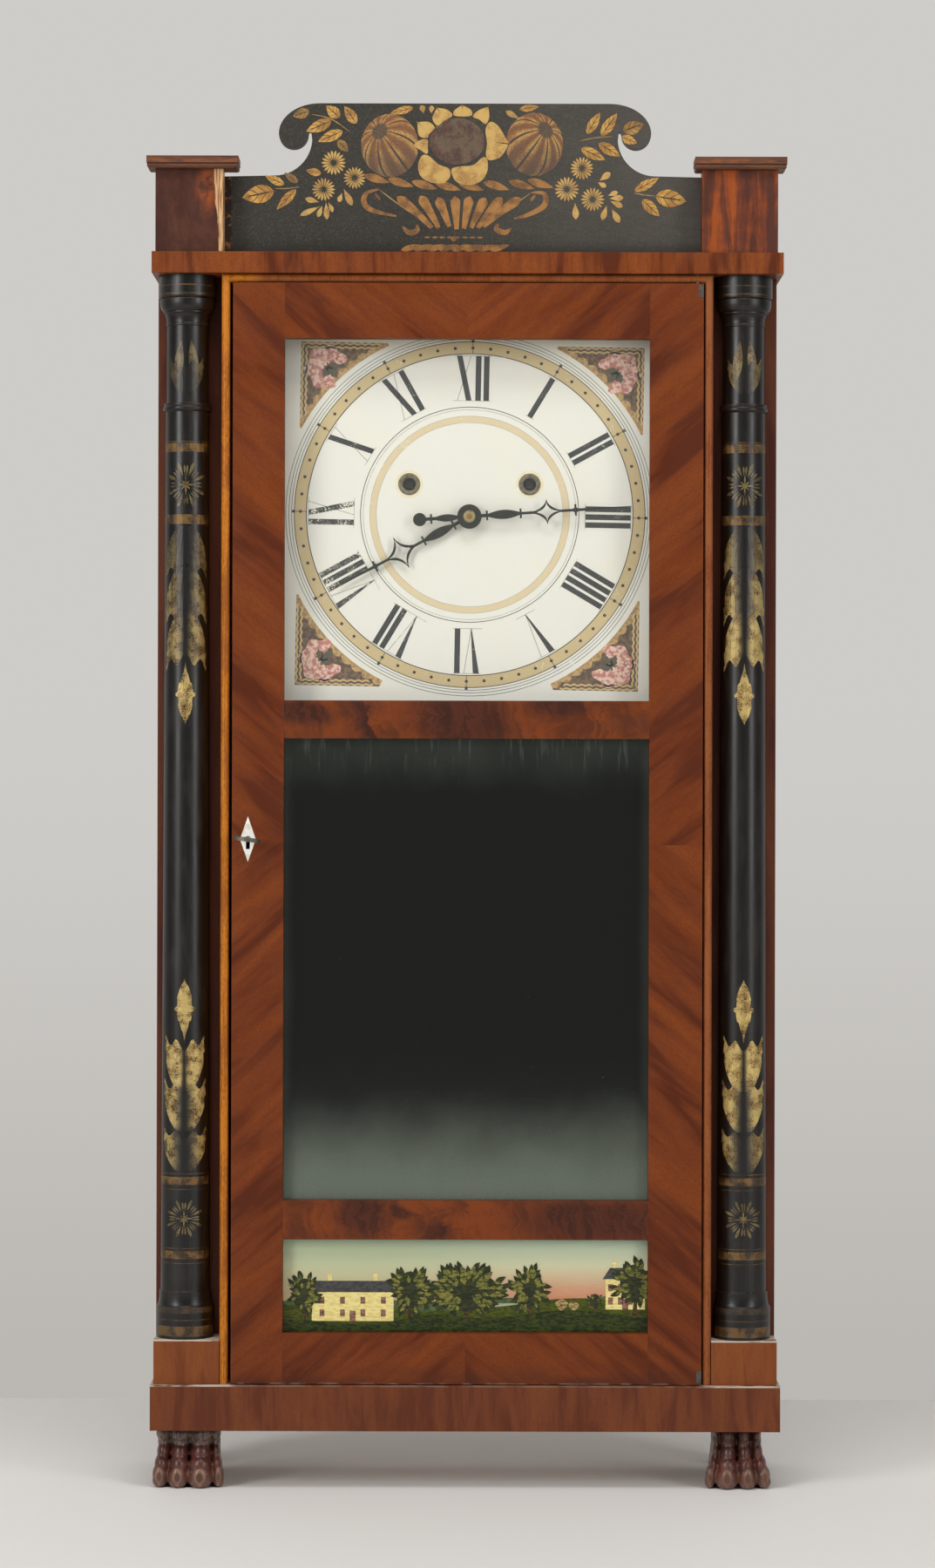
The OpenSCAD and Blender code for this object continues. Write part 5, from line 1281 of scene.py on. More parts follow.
def basketwork(basket):
    """Rim, fluted bowl, handles and foot of the basket."""
    for x in (-58.5, -42.7, -26.8, -11.6, 4.0, 20.8, 37.4, 50.0):
        z = 46.0 + (6.0 if x < 0 else 2.0) * ((x + 6.0) / 58.0) ** 2
        basket.leaf((x + 8.8, z - 2.6), (x - 8.6, z + 2.6), 2.7, tone=0.85, steps=(4, 9))
    for top, foot in FLUTES:
        basket.leaf(top, foot, 3.7, "flute", 0.95, (6, 26), bend=(top[0] + 4.0) * 0.55)
    for line in HANDLES:
        basket.ribbon(line, 1.9, 0.85, rows=26)
    for tip, root in (((-59.8, 41.6), (-56.0, 36.8)), ((46.8, 40.6), (43.4, 36.2))):
        basket.leaf(tip, root, 1.1, tone=0.7, steps=(3, 6))
    for i in range(8):
        x = -27.0 + i * 5.0
        basket.leaf((x + 4.4, 12.2), (x, 12.2), 0.7, tone=0.75, steps=(2, 5))
    basket.patch(((-7.3, 13.2), (-5.4, 11.3), (-7.3, 9.4), (-9.2, 11.3)), 0.8, 2, 12)
    for i in range(8):
        x = -42.4 + i * 8.4
        basket.leaf((x + 13.4, 7.3), (x, 3.6), 2.0, tone=0.95, steps=(3, 8))


# ---------------------------------------------------------------- dial


def dial_ground(colours):
    """Cream paint, darkened by its left and top edges with painted shadow of the door's frame and
    with age, and grimy in patches.
    """
    finish = Finish("dial_cream")
    place = finish.place()
    x, _, z = finish.parts(place)
    lower, upper = low("dial_board"), high("dial_board")
    cloud = finish.noise(place, 40.0, 3)
    fine = finish.noise(place, 1.6, 4, 0.6)
    base = finish.mix(cloud.span(0.42, 0.68) * 0.5, colours.cream, shade(230, 226, 208))
    grime = finish.noise(place, (16, 16, 16), 4, 0.65)
    # painted shadow of the door's frame, with some age: the left and top edges are darkened, over
    # grime in patches
    left = 1 - x.span(lower.x + 28.0, lower.x + 42.0)
    top = z.span(upper.z - 18.0, upper.z - 8.0)
    dirt = (left * 0.2).most(top * 0.4) + grime.span(0.60, 0.80) * 0.18
    base = finish.mix(dirt, base, shade(196, 190, 160))
    specks = finish.noise(place, 0.9, 2).span(0.74, 0.80)
    base = finish.mix(specks * 0.35, base, shade(150, 136, 104))
    return finish.done(base, 0.46 + cloud * 0.1, finish.bump(fine, 0.02, 0.3))


def paint(name, base_colour, chip_colour, chips=0.3, size=1.2, rough=0.5, mottle=None):
    """Thin paint, rubbed in places so that what lies under it shows."""
    finish = Finish(name)
    place = finish.place()
    flake = finish.noise(place, size, 4, 0.62)
    broad = finish.noise(place, size * 14, 2)
    base = tuple(base_colour)
    if mottle:
        base = finish.mix(finish.noise(place, size * 2.5, 3).span(0.42, 0.60), base, mottle)
    gone = (flake + broad * 0.6).span(1.02 - chips * 0.4, 1.10 - chips * 0.4)
    base = finish.mix(gone, base, chip_colour)
    return finish.done(base, rough, finish.bump(flake, 0.01, 0.3))


# How the dial's painting sits askew: millimetres right and up of the hands' centre, degrees
# of turn, and height for its width.
ASKEW_RIGHT, ASKEW_UP, ASKEW_TURN, ASKEW_TALL = 0.2, 1.65, 1.0, 0.986
# How far the bushes of the winding holes stand in front of the dial's face, in millimetres.
BUSH_STAND = 0.4


class Face:
    """The dial's face: radius and clock angle to a place just in front of it."""

    def __init__(self, rise):
        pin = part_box("hand_nut")
        self.x = (pin[0].x + pin[1].x) / 2
        self.z = (pin[0].z + pin[1].z) / 2
        self.y = dial_face_depth()
        self.rise = rise

    def set_askew(self):
        """The change that sets the painting off the hands' centre, flattened and turned."""
        middle = Vector((self.x, 0, self.z))
        return (Matrix.Translation(middle + Vector((ASKEW_RIGHT, 0, ASKEW_UP)) * MM)
                @ Matrix.Rotation(math.radians(ASKEW_TURN), 4, "Y")
                @ Matrix.Diagonal((1, 1, ASKEW_TALL, 1)) @ Matrix.Translation(-middle))

    def at(self, radius, degrees, extra=0.0):
        turn = math.radians(degrees)
        return self.flat(radius * math.sin(turn), radius * math.cos(turn), extra)

    def flat(self, across, up, extra=0.0):
        """A place counted across and up from the hands' centre, and by how far in front."""
        return Vector((self.x + across * MM, self.y - self.rise - extra * MM,
                       self.z + up * MM))

    def ring(self, bm, inner, outer, extra=0.0):
        """A flat ring, spun from a short edge."""
        spun(bm, [self.at(radius, 0, extra) for radius in (inner, outer)],
             (self.x, self.y, self.z), 144)

    def stroke(self, bm, angle, near, far, extra=0.02):
        """A stroke of a numeral. Its ends are given as (radius, low side, high side), the
        sides counted across in millimetres from the numeral's middle line."""
        turn = math.radians(angle)

        def put(across, along):
            radius = blend(near[0], far[0], along)
            aside = blend(blend(near[1], near[2], (across + 1) / 2),
                          blend(far[1], far[2], (across + 1) / 2), along)
            return self.flat(radius * math.sin(turn) + aside * math.cos(turn),
                             radius * math.cos(turn) - aside * math.sin(turn), extra)

        sheet_of(bm, put, 1, 6)


def dial_face_depth():
    """Depth of the dial's face. The node's box begins at the bushes in front of it."""
    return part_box("dial_board")[0].y + BUSH_STAND * MM


NUMERALS = ("XII", "I", "II", "III", "IIII", "V", "VI", "VII", "VIII", "IX", "X", "XI")
LETTER_WIDTH = {"I": 5.4, "V": 13.0, "X": 13.4}
# Half width of a heavy stroke, width of a hairline, and how far it passes the letters.
HALF_BAR, HAIRLINE, OVERHANG = 1.85, 0.35, 0.6


def draw_numeral(face, heavy, fine, text, angle, inner, outer):
    """A Roman numeral with its foot towards the middle: heavy strokes with parallel sides,
    thin strokes and hairlines across the ends."""
    half = sum(LETTER_WIDTH[c] for c in text) / 2
    # each letter's strokes, as low and high side at its foot, then at its top
    strokes = {
        "I": ((heavy, -HALF_BAR, HALF_BAR, -HALF_BAR, HALF_BAR),),
        "V": ((heavy, -0.1, 0.5, -5.6, -1.5), (fine, -0.2, 0.25, 4.4, 4.9)),
        "X": ((heavy, 1.5, 5.2, -5.2, -1.5), (fine, -4.6, -4.1, 4.1, 4.6)),
    }
    place = -half
    for letter in text:
        mid = place + LETTER_WIDTH[letter] / 2
        for bm, *sides in strokes[letter]:
            sides = [mid + side for side in sides]
            face.stroke(bm, angle, (inner, *sides[:2]), (outer, *sides[2:]))
        place += LETTER_WIDTH[letter]
    ends = (-half - OVERHANG, half + OVERHANG)
    for radius in (inner, outer - HAIRLINE):
        face.stroke(fine, angle, (radius, *ends), (radius + HAIRLINE, *ends), 0.03)


def spandrel(face, ground, border, ribbons, bloom, leaf, side, top):
    """One painted corner: a dark ground between the dial's rings and its square corner, with
    a scalloped border, wavy ribbons along both sides, and a pink bloom."""
    up = 1 if top else -1
    corner_x, corner_z = 114.0, 114.5 if top else 117.0
    arc_r, arc_end = 127.5, 56.5
    start = math.degrees(math.asin(arc_end / arc_r))
    end = 90 - start
    knee = math.degrees(math.atan2(corner_x, corner_z))

    def swing(across):
        """Angle from straight up, with the corner at the middle of the sheet."""
        return blend(knee, end, across) if across > 0 else blend(knee, start, -across)

    def edge(angle):
        turn = math.radians(angle)
        return min(corner_x / math.sin(turn), corner_z / math.cos(turn))

    def lay(radius, angle, extra):
        turn = math.radians(angle)
        return face.flat(side * radius * math.sin(turn), up * radius * math.cos(turn), extra)

    sheet_of(ground, lambda across, along: lay(
        blend(arc_r - 1.0, edge(swing(across)), along), swing(across), 0.0), 24, 6)

    def scallop(across, along):
        angle = swing(across)
        depth = 2.2 + 2.4 * abs(math.sin(angle * 0.85))
        return lay(min(arc_r - 1.6 + depth * along, edge(angle)), angle, 0.02)

    sheet_of(border, scallop, 120, 2)
    for flat_x, inset in ((True, 1.0), (False, 1.0), (True, 3.6), (False, 3.6)):
        def wavy(across, along, flat_x=flat_x, inset=inset):
            run = blend(61.0 + inset, (corner_z if flat_x else corner_x) - inset, along)
            wave = 0.45 * math.sin(run * 1.25)
            off = inset + wave + 0.65 * across
            x, z = ((corner_x - off, run) if flat_x else (run, corner_z - off))
            return face.flat(side * x, up * z, 0.03)

        sheet_of(ribbons, wavy, 2, 44)
    # bloom: a curl of lobes, open towards the dial, with three leaves
    centre = (corner_x - 18.5, corner_z - 17.5)

    def curl(across, along):
        turn = math.radians(blend(-70, 205, along))
        lobes = 1.0 + 0.22 * math.sin(along * 34)
        radius = 9.0 + 6.4 * across * lobes * math.sin(math.pi * blend(0.12, 0.88, along)) ** 0.6
        return face.flat(side * (centre[0] + radius * math.sin(turn)),
                         up * (centre[1] + radius * math.cos(turn)), 0.03)

    sheet_of(bloom, curl, 6, 40)
    for turn, size, wide in ((0, 10.5, 2.6), (-58, 8.0, 2.1), (55, 8.5, 2.2)):
        angle = math.radians(225 + turn)

        def lobe(across, along, angle=angle, size=size, wide=wide):
            wave = wide * math.sin(math.pi * along ** 0.8) ** 0.8 * across
            wave *= 1 + 0.25 * math.sin(along * 20)
            x = centre[0] + 1.5 + size * along * math.sin(angle) + wave * math.cos(angle)
            z = centre[1] + 1.0 + size * along * math.cos(angle) - wave * math.sin(angle)
            return face.flat(side * x, up * z, 0.05)

        sheet_of(leaf, lobe, 4, 12)


class CLOCK_OT_dial(bpy.types.Operator):
    """Painted dial: rings, numerals, corners and the bushes of its winding holes"""

    bl_idname = "clock.dial"
    bl_label = "Dial"

    def execute(self, context):
        sizes, colours = context.scene.clock_sizes, context.scene.clock_colours
        coat(dial_ground(colours), "dial_board")
        face = Face(sizes.paint_rise * 0.6)
        outer, inner = sizes.band_outer / MM, sizes.band_inner / MM
        ring_in = sizes.inner_ring / MM
        cream = shade(226, 220, 200)

        tan, pale, dark, grey, circles = (bmesh.new() for _ in range(5))
        # rings between two radii, or from a radius by a width
        face.ring(tan, inner, outer)
        face.ring(pale, ring_in - 4.2, ring_in)
        for radius, width in ((outer, 0.5), (inner - 0.3, 0.6), (72.3, 0.45)):
            face.ring(dark, radius, radius + width, 0.02)
        for radius in (118.1, 119.9, 122.0):
            face.ring(circles, radius, radius + 0.42, 0.02)
        for radius, width in ((70.6, 0.3), (ring_in, 0.25), (ring_in - 4.4, 0.25)):
            face.ring(grey, radius, radius + width, 0.02)
        middle = (outer + inner) / 2
        for minute in range(60):
            spot = bmesh.ops.create_circle(dark, cap_ends=True, segments=10, radius=1.1 * MM)
            bmesh.ops.rotate(dark, verts=spot["verts"],
                             matrix=Matrix.Rotation(math.radians(90), 3, "X"))
            bmesh.ops.translate(dark, verts=spot["verts"],
                                vec=face.at(middle, minute * 6, 0.03))
            if minute % 5 == 0:
                for near, far, half in ((inner, outer, 0.2), (outer - 0.2, outer + 1.7, 0.95)):
                    face.stroke(dark, minute * 6, (near, -half, half), (far, -half, half))
        heavy, rubbed = bmesh.new(), bmesh.new()
        for i, text in enumerate(NUMERALS):
            draw_numeral(face, rubbed if text in ("VIII", "IX") else heavy, grey, text, i * 30,
                         sizes.numeral_inner / MM, sizes.numeral_outer / MM)
        shapes = {name: bmesh.new() for name in ("ground", "border", "ribbons", "bloom", "leaf")}
        for side in (-1, 1):
            for top in (True, False):
                spandrel(face, *shapes.values(), side, top)
        finishes = (
            (tan, "dial_minute_band", paint("dial_tan", colours.tan, cream, 0.12, 1.0)),
            (pale, "dial_inner_ring", paint("dial_pale_tan", shade(216, 197, 156), cream, 0.12)),
            (dark, "dial_marks", paint("dial_dark_lines", shade(44, 34, 26), cream, 0.05)),
            (circles, "dial_circles", paint("dial_thin_lines", shade(112, 116, 106), cream, 0.1)),
            (rubbed, "dial_rubbed_numerals", paint("dial_rubbed_ink", colours.ink, cream, 0.46,
                                                   0.7)),
            (grey, "dial_hairlines", paint("dial_grey_lines", shade(158, 154, 142), cream, 0.3)),
            (heavy, "dial_numerals", paint("dial_ink", colours.ink, cream, 0.12, 0.8)),
            (shapes["ground"], "dial_corner_grounds",
             paint("corner_brown", shade(78, 56, 38), shade(150, 120, 86), 0.2, 1.0,
                   mottle=shade(118, 88, 58))),
            (shapes["border"], "dial_corner_borders",
             paint("corner_tan", shade(196, 160, 98), shade(110, 86, 58), 0.3, 0.8,
                   mottle=shade(160, 122, 72))),
            (shapes["ribbons"], "dial_corner_ribbons",
             paint("corner_gold", shade(206, 178, 120), shade(130, 100, 64), 0.3, 0.8)),
            (shapes["bloom"], "dial_corner_blooms",
             paint("corner_pink", shade(232, 196, 176), shade(158, 92, 76), 0.3, 1.2,
                   mottle=shade(190, 118, 104))),
            (shapes["leaf"], "dial_corner_leaves",
             paint("corner_leaf", shade(82, 72, 48), shade(120, 104, 70), 0.15, 0.8)),
        )
        askew = face.set_askew()
        for bm, name, material in finishes:
            bmesh.ops.transform(bm, verts=bm.verts, matrix=askew)
            face_front(bm)
            piece(name, bm, material, "case", "dial_paint", smooth=False)
        self.bushes(face)
        return {"FINISHED"}

    def bushes(self, face):
        """Turned bushes round the winding holes, spun from their section, and a pale halo
        round each."""
        bm, halo = bmesh.new(), bmesh.new()
        # radius and depth behind the dial's face, from the hole outwards
        section = ((4.42, 2.0), (4.42, -0.30), (4.9, -0.75), (6.2, -0.9), (7.0, -0.6),
                   (7.3, 0.0), (7.3, 0.2))
        flat = ((7.0, -0.02), (9.4, -0.02))
        for node in ("time_drum", "strike_drum"):
            lower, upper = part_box(node)
            x, z = (lower.x + upper.x) / 2, (lower.z + upper.z) / 2
            for target, line, steps in ((bm, section, 48), (halo, flat, 40)):
                spun(target, [(x + r * MM, face.y + d * MM, z) for r, d in line],
                     (x, face.y, z), steps)
        bmesh.ops.remove_doubles(bm, verts=bm.verts, dist=1e-6)
        bmesh.ops.recalc_face_normals(bm, faces=bm.faces)
        finish = Finish("bush_wood")
        place = finish.place()
        blot = finish.noise(place, 2.0, 3)
        base = finish.mix(blot.span(0.4, 0.65), shade(116, 102, 68), shade(72, 58, 38))
        material = finish.done(base, 0.5, finish.bump(blot, 0.05, 0.5))
        piece("winding_bushes", bm, material, "case", "movement_wood")
        face_front(halo)
        piece("winding_halos", halo,
              paint("halo_yellow", shade(228, 218, 184), shade(238, 234, 218), 0.4, 1.2),
              "case", "dial_paint", smooth=False)


# ---------------------------------------------------------------- glasses


# Height of the tablet's sky, half the width of its picture, the frame's lap over it, and
# how far the first coat of paint and each next one stand out, all in millimetres.
SKY_TALL = 64.0
HALF_PICTURE = 120.3
LAP = 6.0
FIRST_COAT, NEXT_COAT = 0.05, 0.06


class CLOCK_OT_glasses(bpy.types.Operator):
    """Dial glass, looking glass and painted tablet of the door"""

    bl_idname = "clock.glasses"
    bl_label = "Glasses"

    def execute(self, context):
        colours = context.scene.clock_colours
        clear = Finish("dial_pane")
        coat(clear.done(shade(214, 224, 216), 0.06, Alpha=0.035), "dial_glass")
        clear.material.surface_render_method = "BLENDED"
        coat(self.looking_glass(colours), "mirror_glass")
        coat(self.tablet_sky(), "painted_tablet")
        self.landscape()
        return {"FINISHED"}

    def looking_glass(self, colours):
        """Old silvering, dark as a painted reflection of a dark room, paler towards its foot, and
        hazed at its edges where the silvering is lost.
        """
        finish = Finish("looking_glass")
        place = finish.place()
        x, _, z = finish.parts(place)
        lower, upper = low("mirror_glass"), high("mirror_glass")
        cloud = finish.noise(place, 46.0, 4, 0.55)
        wander = (cloud - 0.5) * 40.0
        # paler towards the foot
        foot = 1 - (z + wander * 0.7).span(lower.z + 4.0, lower.z + 84.0)
        left = 1 - (x + wander * 0.15).span(lower.x + 2.0, lower.x + 15.0)
        right = (x + wander * 0.15).span(upper.x - 15.0, upper.x - 2.0)
        crown = (z + wander * 0.9).span(upper.z - 46.0, upper.z + 10.0)
        drips = finish.noise(place, (3.2, 8, 34), 3, 0.6).span(0.54, 0.68)
        drips = drips * z.span(upper.z - 34.0, upper.z - 6.0)
        rims = 1 - (1 - left * 0.22) * (1 - right * 0.22) * (1 - crown * 0.24) * (1 - drips * 0.3)
        pale_foot_and_lost_silver = (foot * 0.85).most(rims)
        grain = finish.noise(place, 0.8, 3)
        pale_foot_and_lost_silver = pale_foot_and_lost_silver * grain.span(0.2, 0.8, 0.86, 1.1)
        specks = finish.noise(place, 1.4, 2).span(0.755, 0.80)
        # painted reflection: the glass's dark colour stands for a dark room reflected in it
        base = finish.mix(pale_foot_and_lost_silver, colours.glass, shade(104, 113, 100))
        base = finish.mix(specks * 0.30, base, shade(150, 152, 140))
        return finish.done(base, 0.08 + pale_foot_and_lost_silver * 0.22, shine=0.35)

    def tablet_sky(self):
        """Sky of the painted tablet: green-blue above, rose below, and pale at the left."""
        finish = Finish("tablet_sky")
        place = finish.place()
        x, _, z = finish.parts(place)
        lower = low("painted_tablet").z + LAP
        cloud = finish.noise(place, (40, 10, 9), 3)
        height = (z - lower + (cloud - 0.5) * 5.0) / SKY_TALL
        rosy = x.span(-60.0, 70.0, 0.35, 1.0)
        sky = finish.ramp(height, (0.30, shade(188, 116, 86)), (0.46, shade(196, 146, 112)),
                          (0.68, shade(198, 196, 160)), (0.98, shade(176, 200, 176)))
        pale = finish.ramp(height, (0.30, shade(182, 182, 136)), (0.98, shade(166, 182, 148)))
        base = finish.mix(rosy, pale, sky)
        brush = finish.noise(place, (9, 2, 0.9), 3)
        base = finish.mix(brush.span(0.4, 0.7) * 0.18, base, shade(190, 188, 160))
        return finish.done(base, 0.3, shine=0.25)

    def landscape(self):
        """Hills, water, trees, two plain houses and straw ricks, in coats on the tablet."""
        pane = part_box("painted_tablet")
        left, foot = pane[0].x / MM + LAP, pane[0].z / MM + LAP
        rng = random.Random(11)

        def at(depth):
            """The surface of one coat, whose own strokes lie closer than the next coat."""
            face = pane[0].y - (FIRST_COAT + depth * NEXT_COAT) * MM
            return lambda across, up, lift=0.0: Vector(
                ((left + across) * MM, face - lift * 0.05 * MM, (foot + up) * MM))

        def band(name, depth, material, level, *waves):
            """Ground up to a line that swells at (centre, half width, height) of each wave."""
            def place(across, along):
                x = HALF_PICTURE + HALF_PICTURE * across
                top = level + sum(h * math.exp(-((x - c) / w) ** 2) for c, w, h in waves)
                return x, blend(0.0, top, along)

            ground = Drawing(at(depth), 1)
            ground.sheet(place, 80, 2)
            self.lay(ground, name, material)

        band("tablet_far_hills", 0, ("far_hills", (86, 104, 62), (60, 80, 44)),
             19.0, (40, 30, 6), (150, 40, 3.5), (230, 26, 7))
        water = Drawing(at(1), 1)
        water.sheet(lambda across, along: (150 + 48 * across, 15.5 + 3.4 * along), 8, 2)
        self.lay(water, "tablet_water", ("water", (142, 154, 138), (176, 168, 140)))
        band("tablet_meadow", 2, ("meadow", (76, 84, 16), (50, 58, 14)),
             15.0, (24, 36, 3.5), (92, 22, -1.5), (190, 40, 7), (236, 30, 3))
        self.house(at, 3.0, 46.0, 7.0, 54.0, 19.0)
        self.house(at, 3.0, 226.0, 15.0, 26.0, 20.0)
        ricks = Drawing(at(3))
        for x, z, size in ((184, 14, 9.0), (192, 14, 7.5)):
            ricks.blade((x, z - 1), 0, size, size * 0.46, "drop", steps=(4, 8))
        self.lay(ricks, "tablet_ricks", ("straw", (176, 150, 96), (92, 76, 50)))
        trees, lit, trunks = Drawing(at(4), 100), Drawing(at(5), 100), Drawing(at(3.5))
        # middle, foot, size, width for its height, and tufts of each tree
        for x, z, size, broad, tufts in (
            (14, 8, 33, 1.0, 34), (84, 7, 40, 1.0, 44), (121, 6, 42, 2.1, 96),
            (163, 9, 38, 1.0, 44), (232, 12, 40, 1.0, 44), (206, 13, 15, 1.0, 16),
        ):
            trunks.blade((x, z - 3), rng.uniform(-4, 4), size * 0.6, size * 0.035 + 0.3, "stem")
            trees.disc((x, z + size * 0.5), size * 0.24 * broad, 1.0, 1, 24, size * 0.32)
            for _ in range(tufts):
                turn = rng.uniform(-165, 165)
                out = rng.uniform(0.3, 1.0)
                root = (x + size * 0.25 * broad * math.sin(math.radians(turn)) * out,
                        z + size * (0.5 + 0.30 * math.cos(math.radians(turn)) * out))
                for target, grow in ((trees, 1.0), (lit, 0.6)):
                    target.blade(root, turn + rng.uniform(-30, 30), size * 0.20 * grow,
                                 size * 0.045 * grow, steps=(2, 4))
        band("tablet_foreground", 6, ("foreground", (28, 36, 14), (58, 68, 18)),
             8.0, (50, 26, -3.0), (100, 20, 3.5), (190, 40, 6.5))
        self.lay(trunks, "tablet_trunks", ("trunks", (52, 38, 24), (88, 66, 40)))
        self.lay(trees, "tablet_trees", ("tree_green", (34, 40, 24), (58, 62, 32)))
        self.lay(lit, "tablet_tree_lights", ("tree_lights", (70, 80, 36), (132, 124, 58)))

    def lay(self, drawing, name, paint):
        """Makes a piece of a drawing, in paint given as its name and two colours."""
        drawing.finish(name, brushwork(*paint), "door", "painted_glass")

    def house(self, at, depth, x, z, wide, tall):
        """A plain cream house with a slate roof, two chimneys, windows and a door."""
        wall, roof, panes = (Drawing(at(depth + more), 1) for more in (0, 0.2, 0.4))

        def block(drawing, x0, z0, x1, z1, lean=0.0):
            drawing.sheet(lambda across, along: (
                blend(x0, x1, (across + 1) / 2) - lean * across * along,
                blend(z0, z1, along)), 2, 2)

        left, right = x - wide / 2, x + wide / 2
        block(wall, left, z, right, z + tall)
        block(roof, left - 2.0, z + tall, right + 2.0, z + tall + 7.5, lean=5.0)
        for share in (0.22, 0.78):
            middle = blend(left, right, share)
            block(wall, middle - 1.4, z + tall + 5.5, middle + 1.4, z + tall + 12.0)
        for i in range(4):
            middle = blend(left, right, (i + 0.5) / 4)
            for up in (0.16, 0.60):
                block(panes, middle - 1.6, z + tall * up, middle + 1.6, z + tall * (up + 0.24))
        block(panes, x - 2.0, z, x + 2.0, z + tall * 0.36)
        name = "tablet_house_" + ("left" if x < HALF_PICTURE else "right")
        for drawing, part, *colours in (
            (wall, "_walls", (228, 214, 142), (212, 192, 118)),
            (roof, "_roof", (74, 74, 72), (54, 54, 54)),
            (panes, "_panes", (150, 104, 88), (96, 70, 60)),
        ):
            self.lay(drawing, name + part, (name + part, *colours))


def brushwork(name, first, second):
    """Brush-mottled paint, as glossy as the glass it is on."""
    finish = Finish(name)
    place = finish.place()
    dab = finish.noise(place, (3.2, 2, 1.1), 3, 0.6)
    base = finish.mix(dab.span(0.40, 0.62), shade(*first), shade(*second))
    return finish.done(base, 0.3, shine=0.25)


# ---------------------------------------------------------------- feet


# Height of a foot, and where the hair of its cuff begins, in millimetres.
FOOT_TALL = 40.0
HAIR_FROM = 27.5
# A toe's lumps from its shank down to its tip, as height, share of the sole's width, fullness,
# depth of the middle behind the front, half depth, half height.
TOE_LUMPS = (
    (30.0, 0.00, 0.90, 15.6, 8.0, 9.0), (22.0, 0.16, 0.88, 13.2, 8.0, 8.5),
    (14.5, 0.48, 0.97, 10.6, 8.6, 8.0), (8.2, 0.82, 1.02, 9.4, 8.2, 7.6),
    (4.4, 1.00, 0.92, 8.2, 6.8, 4.6),
)


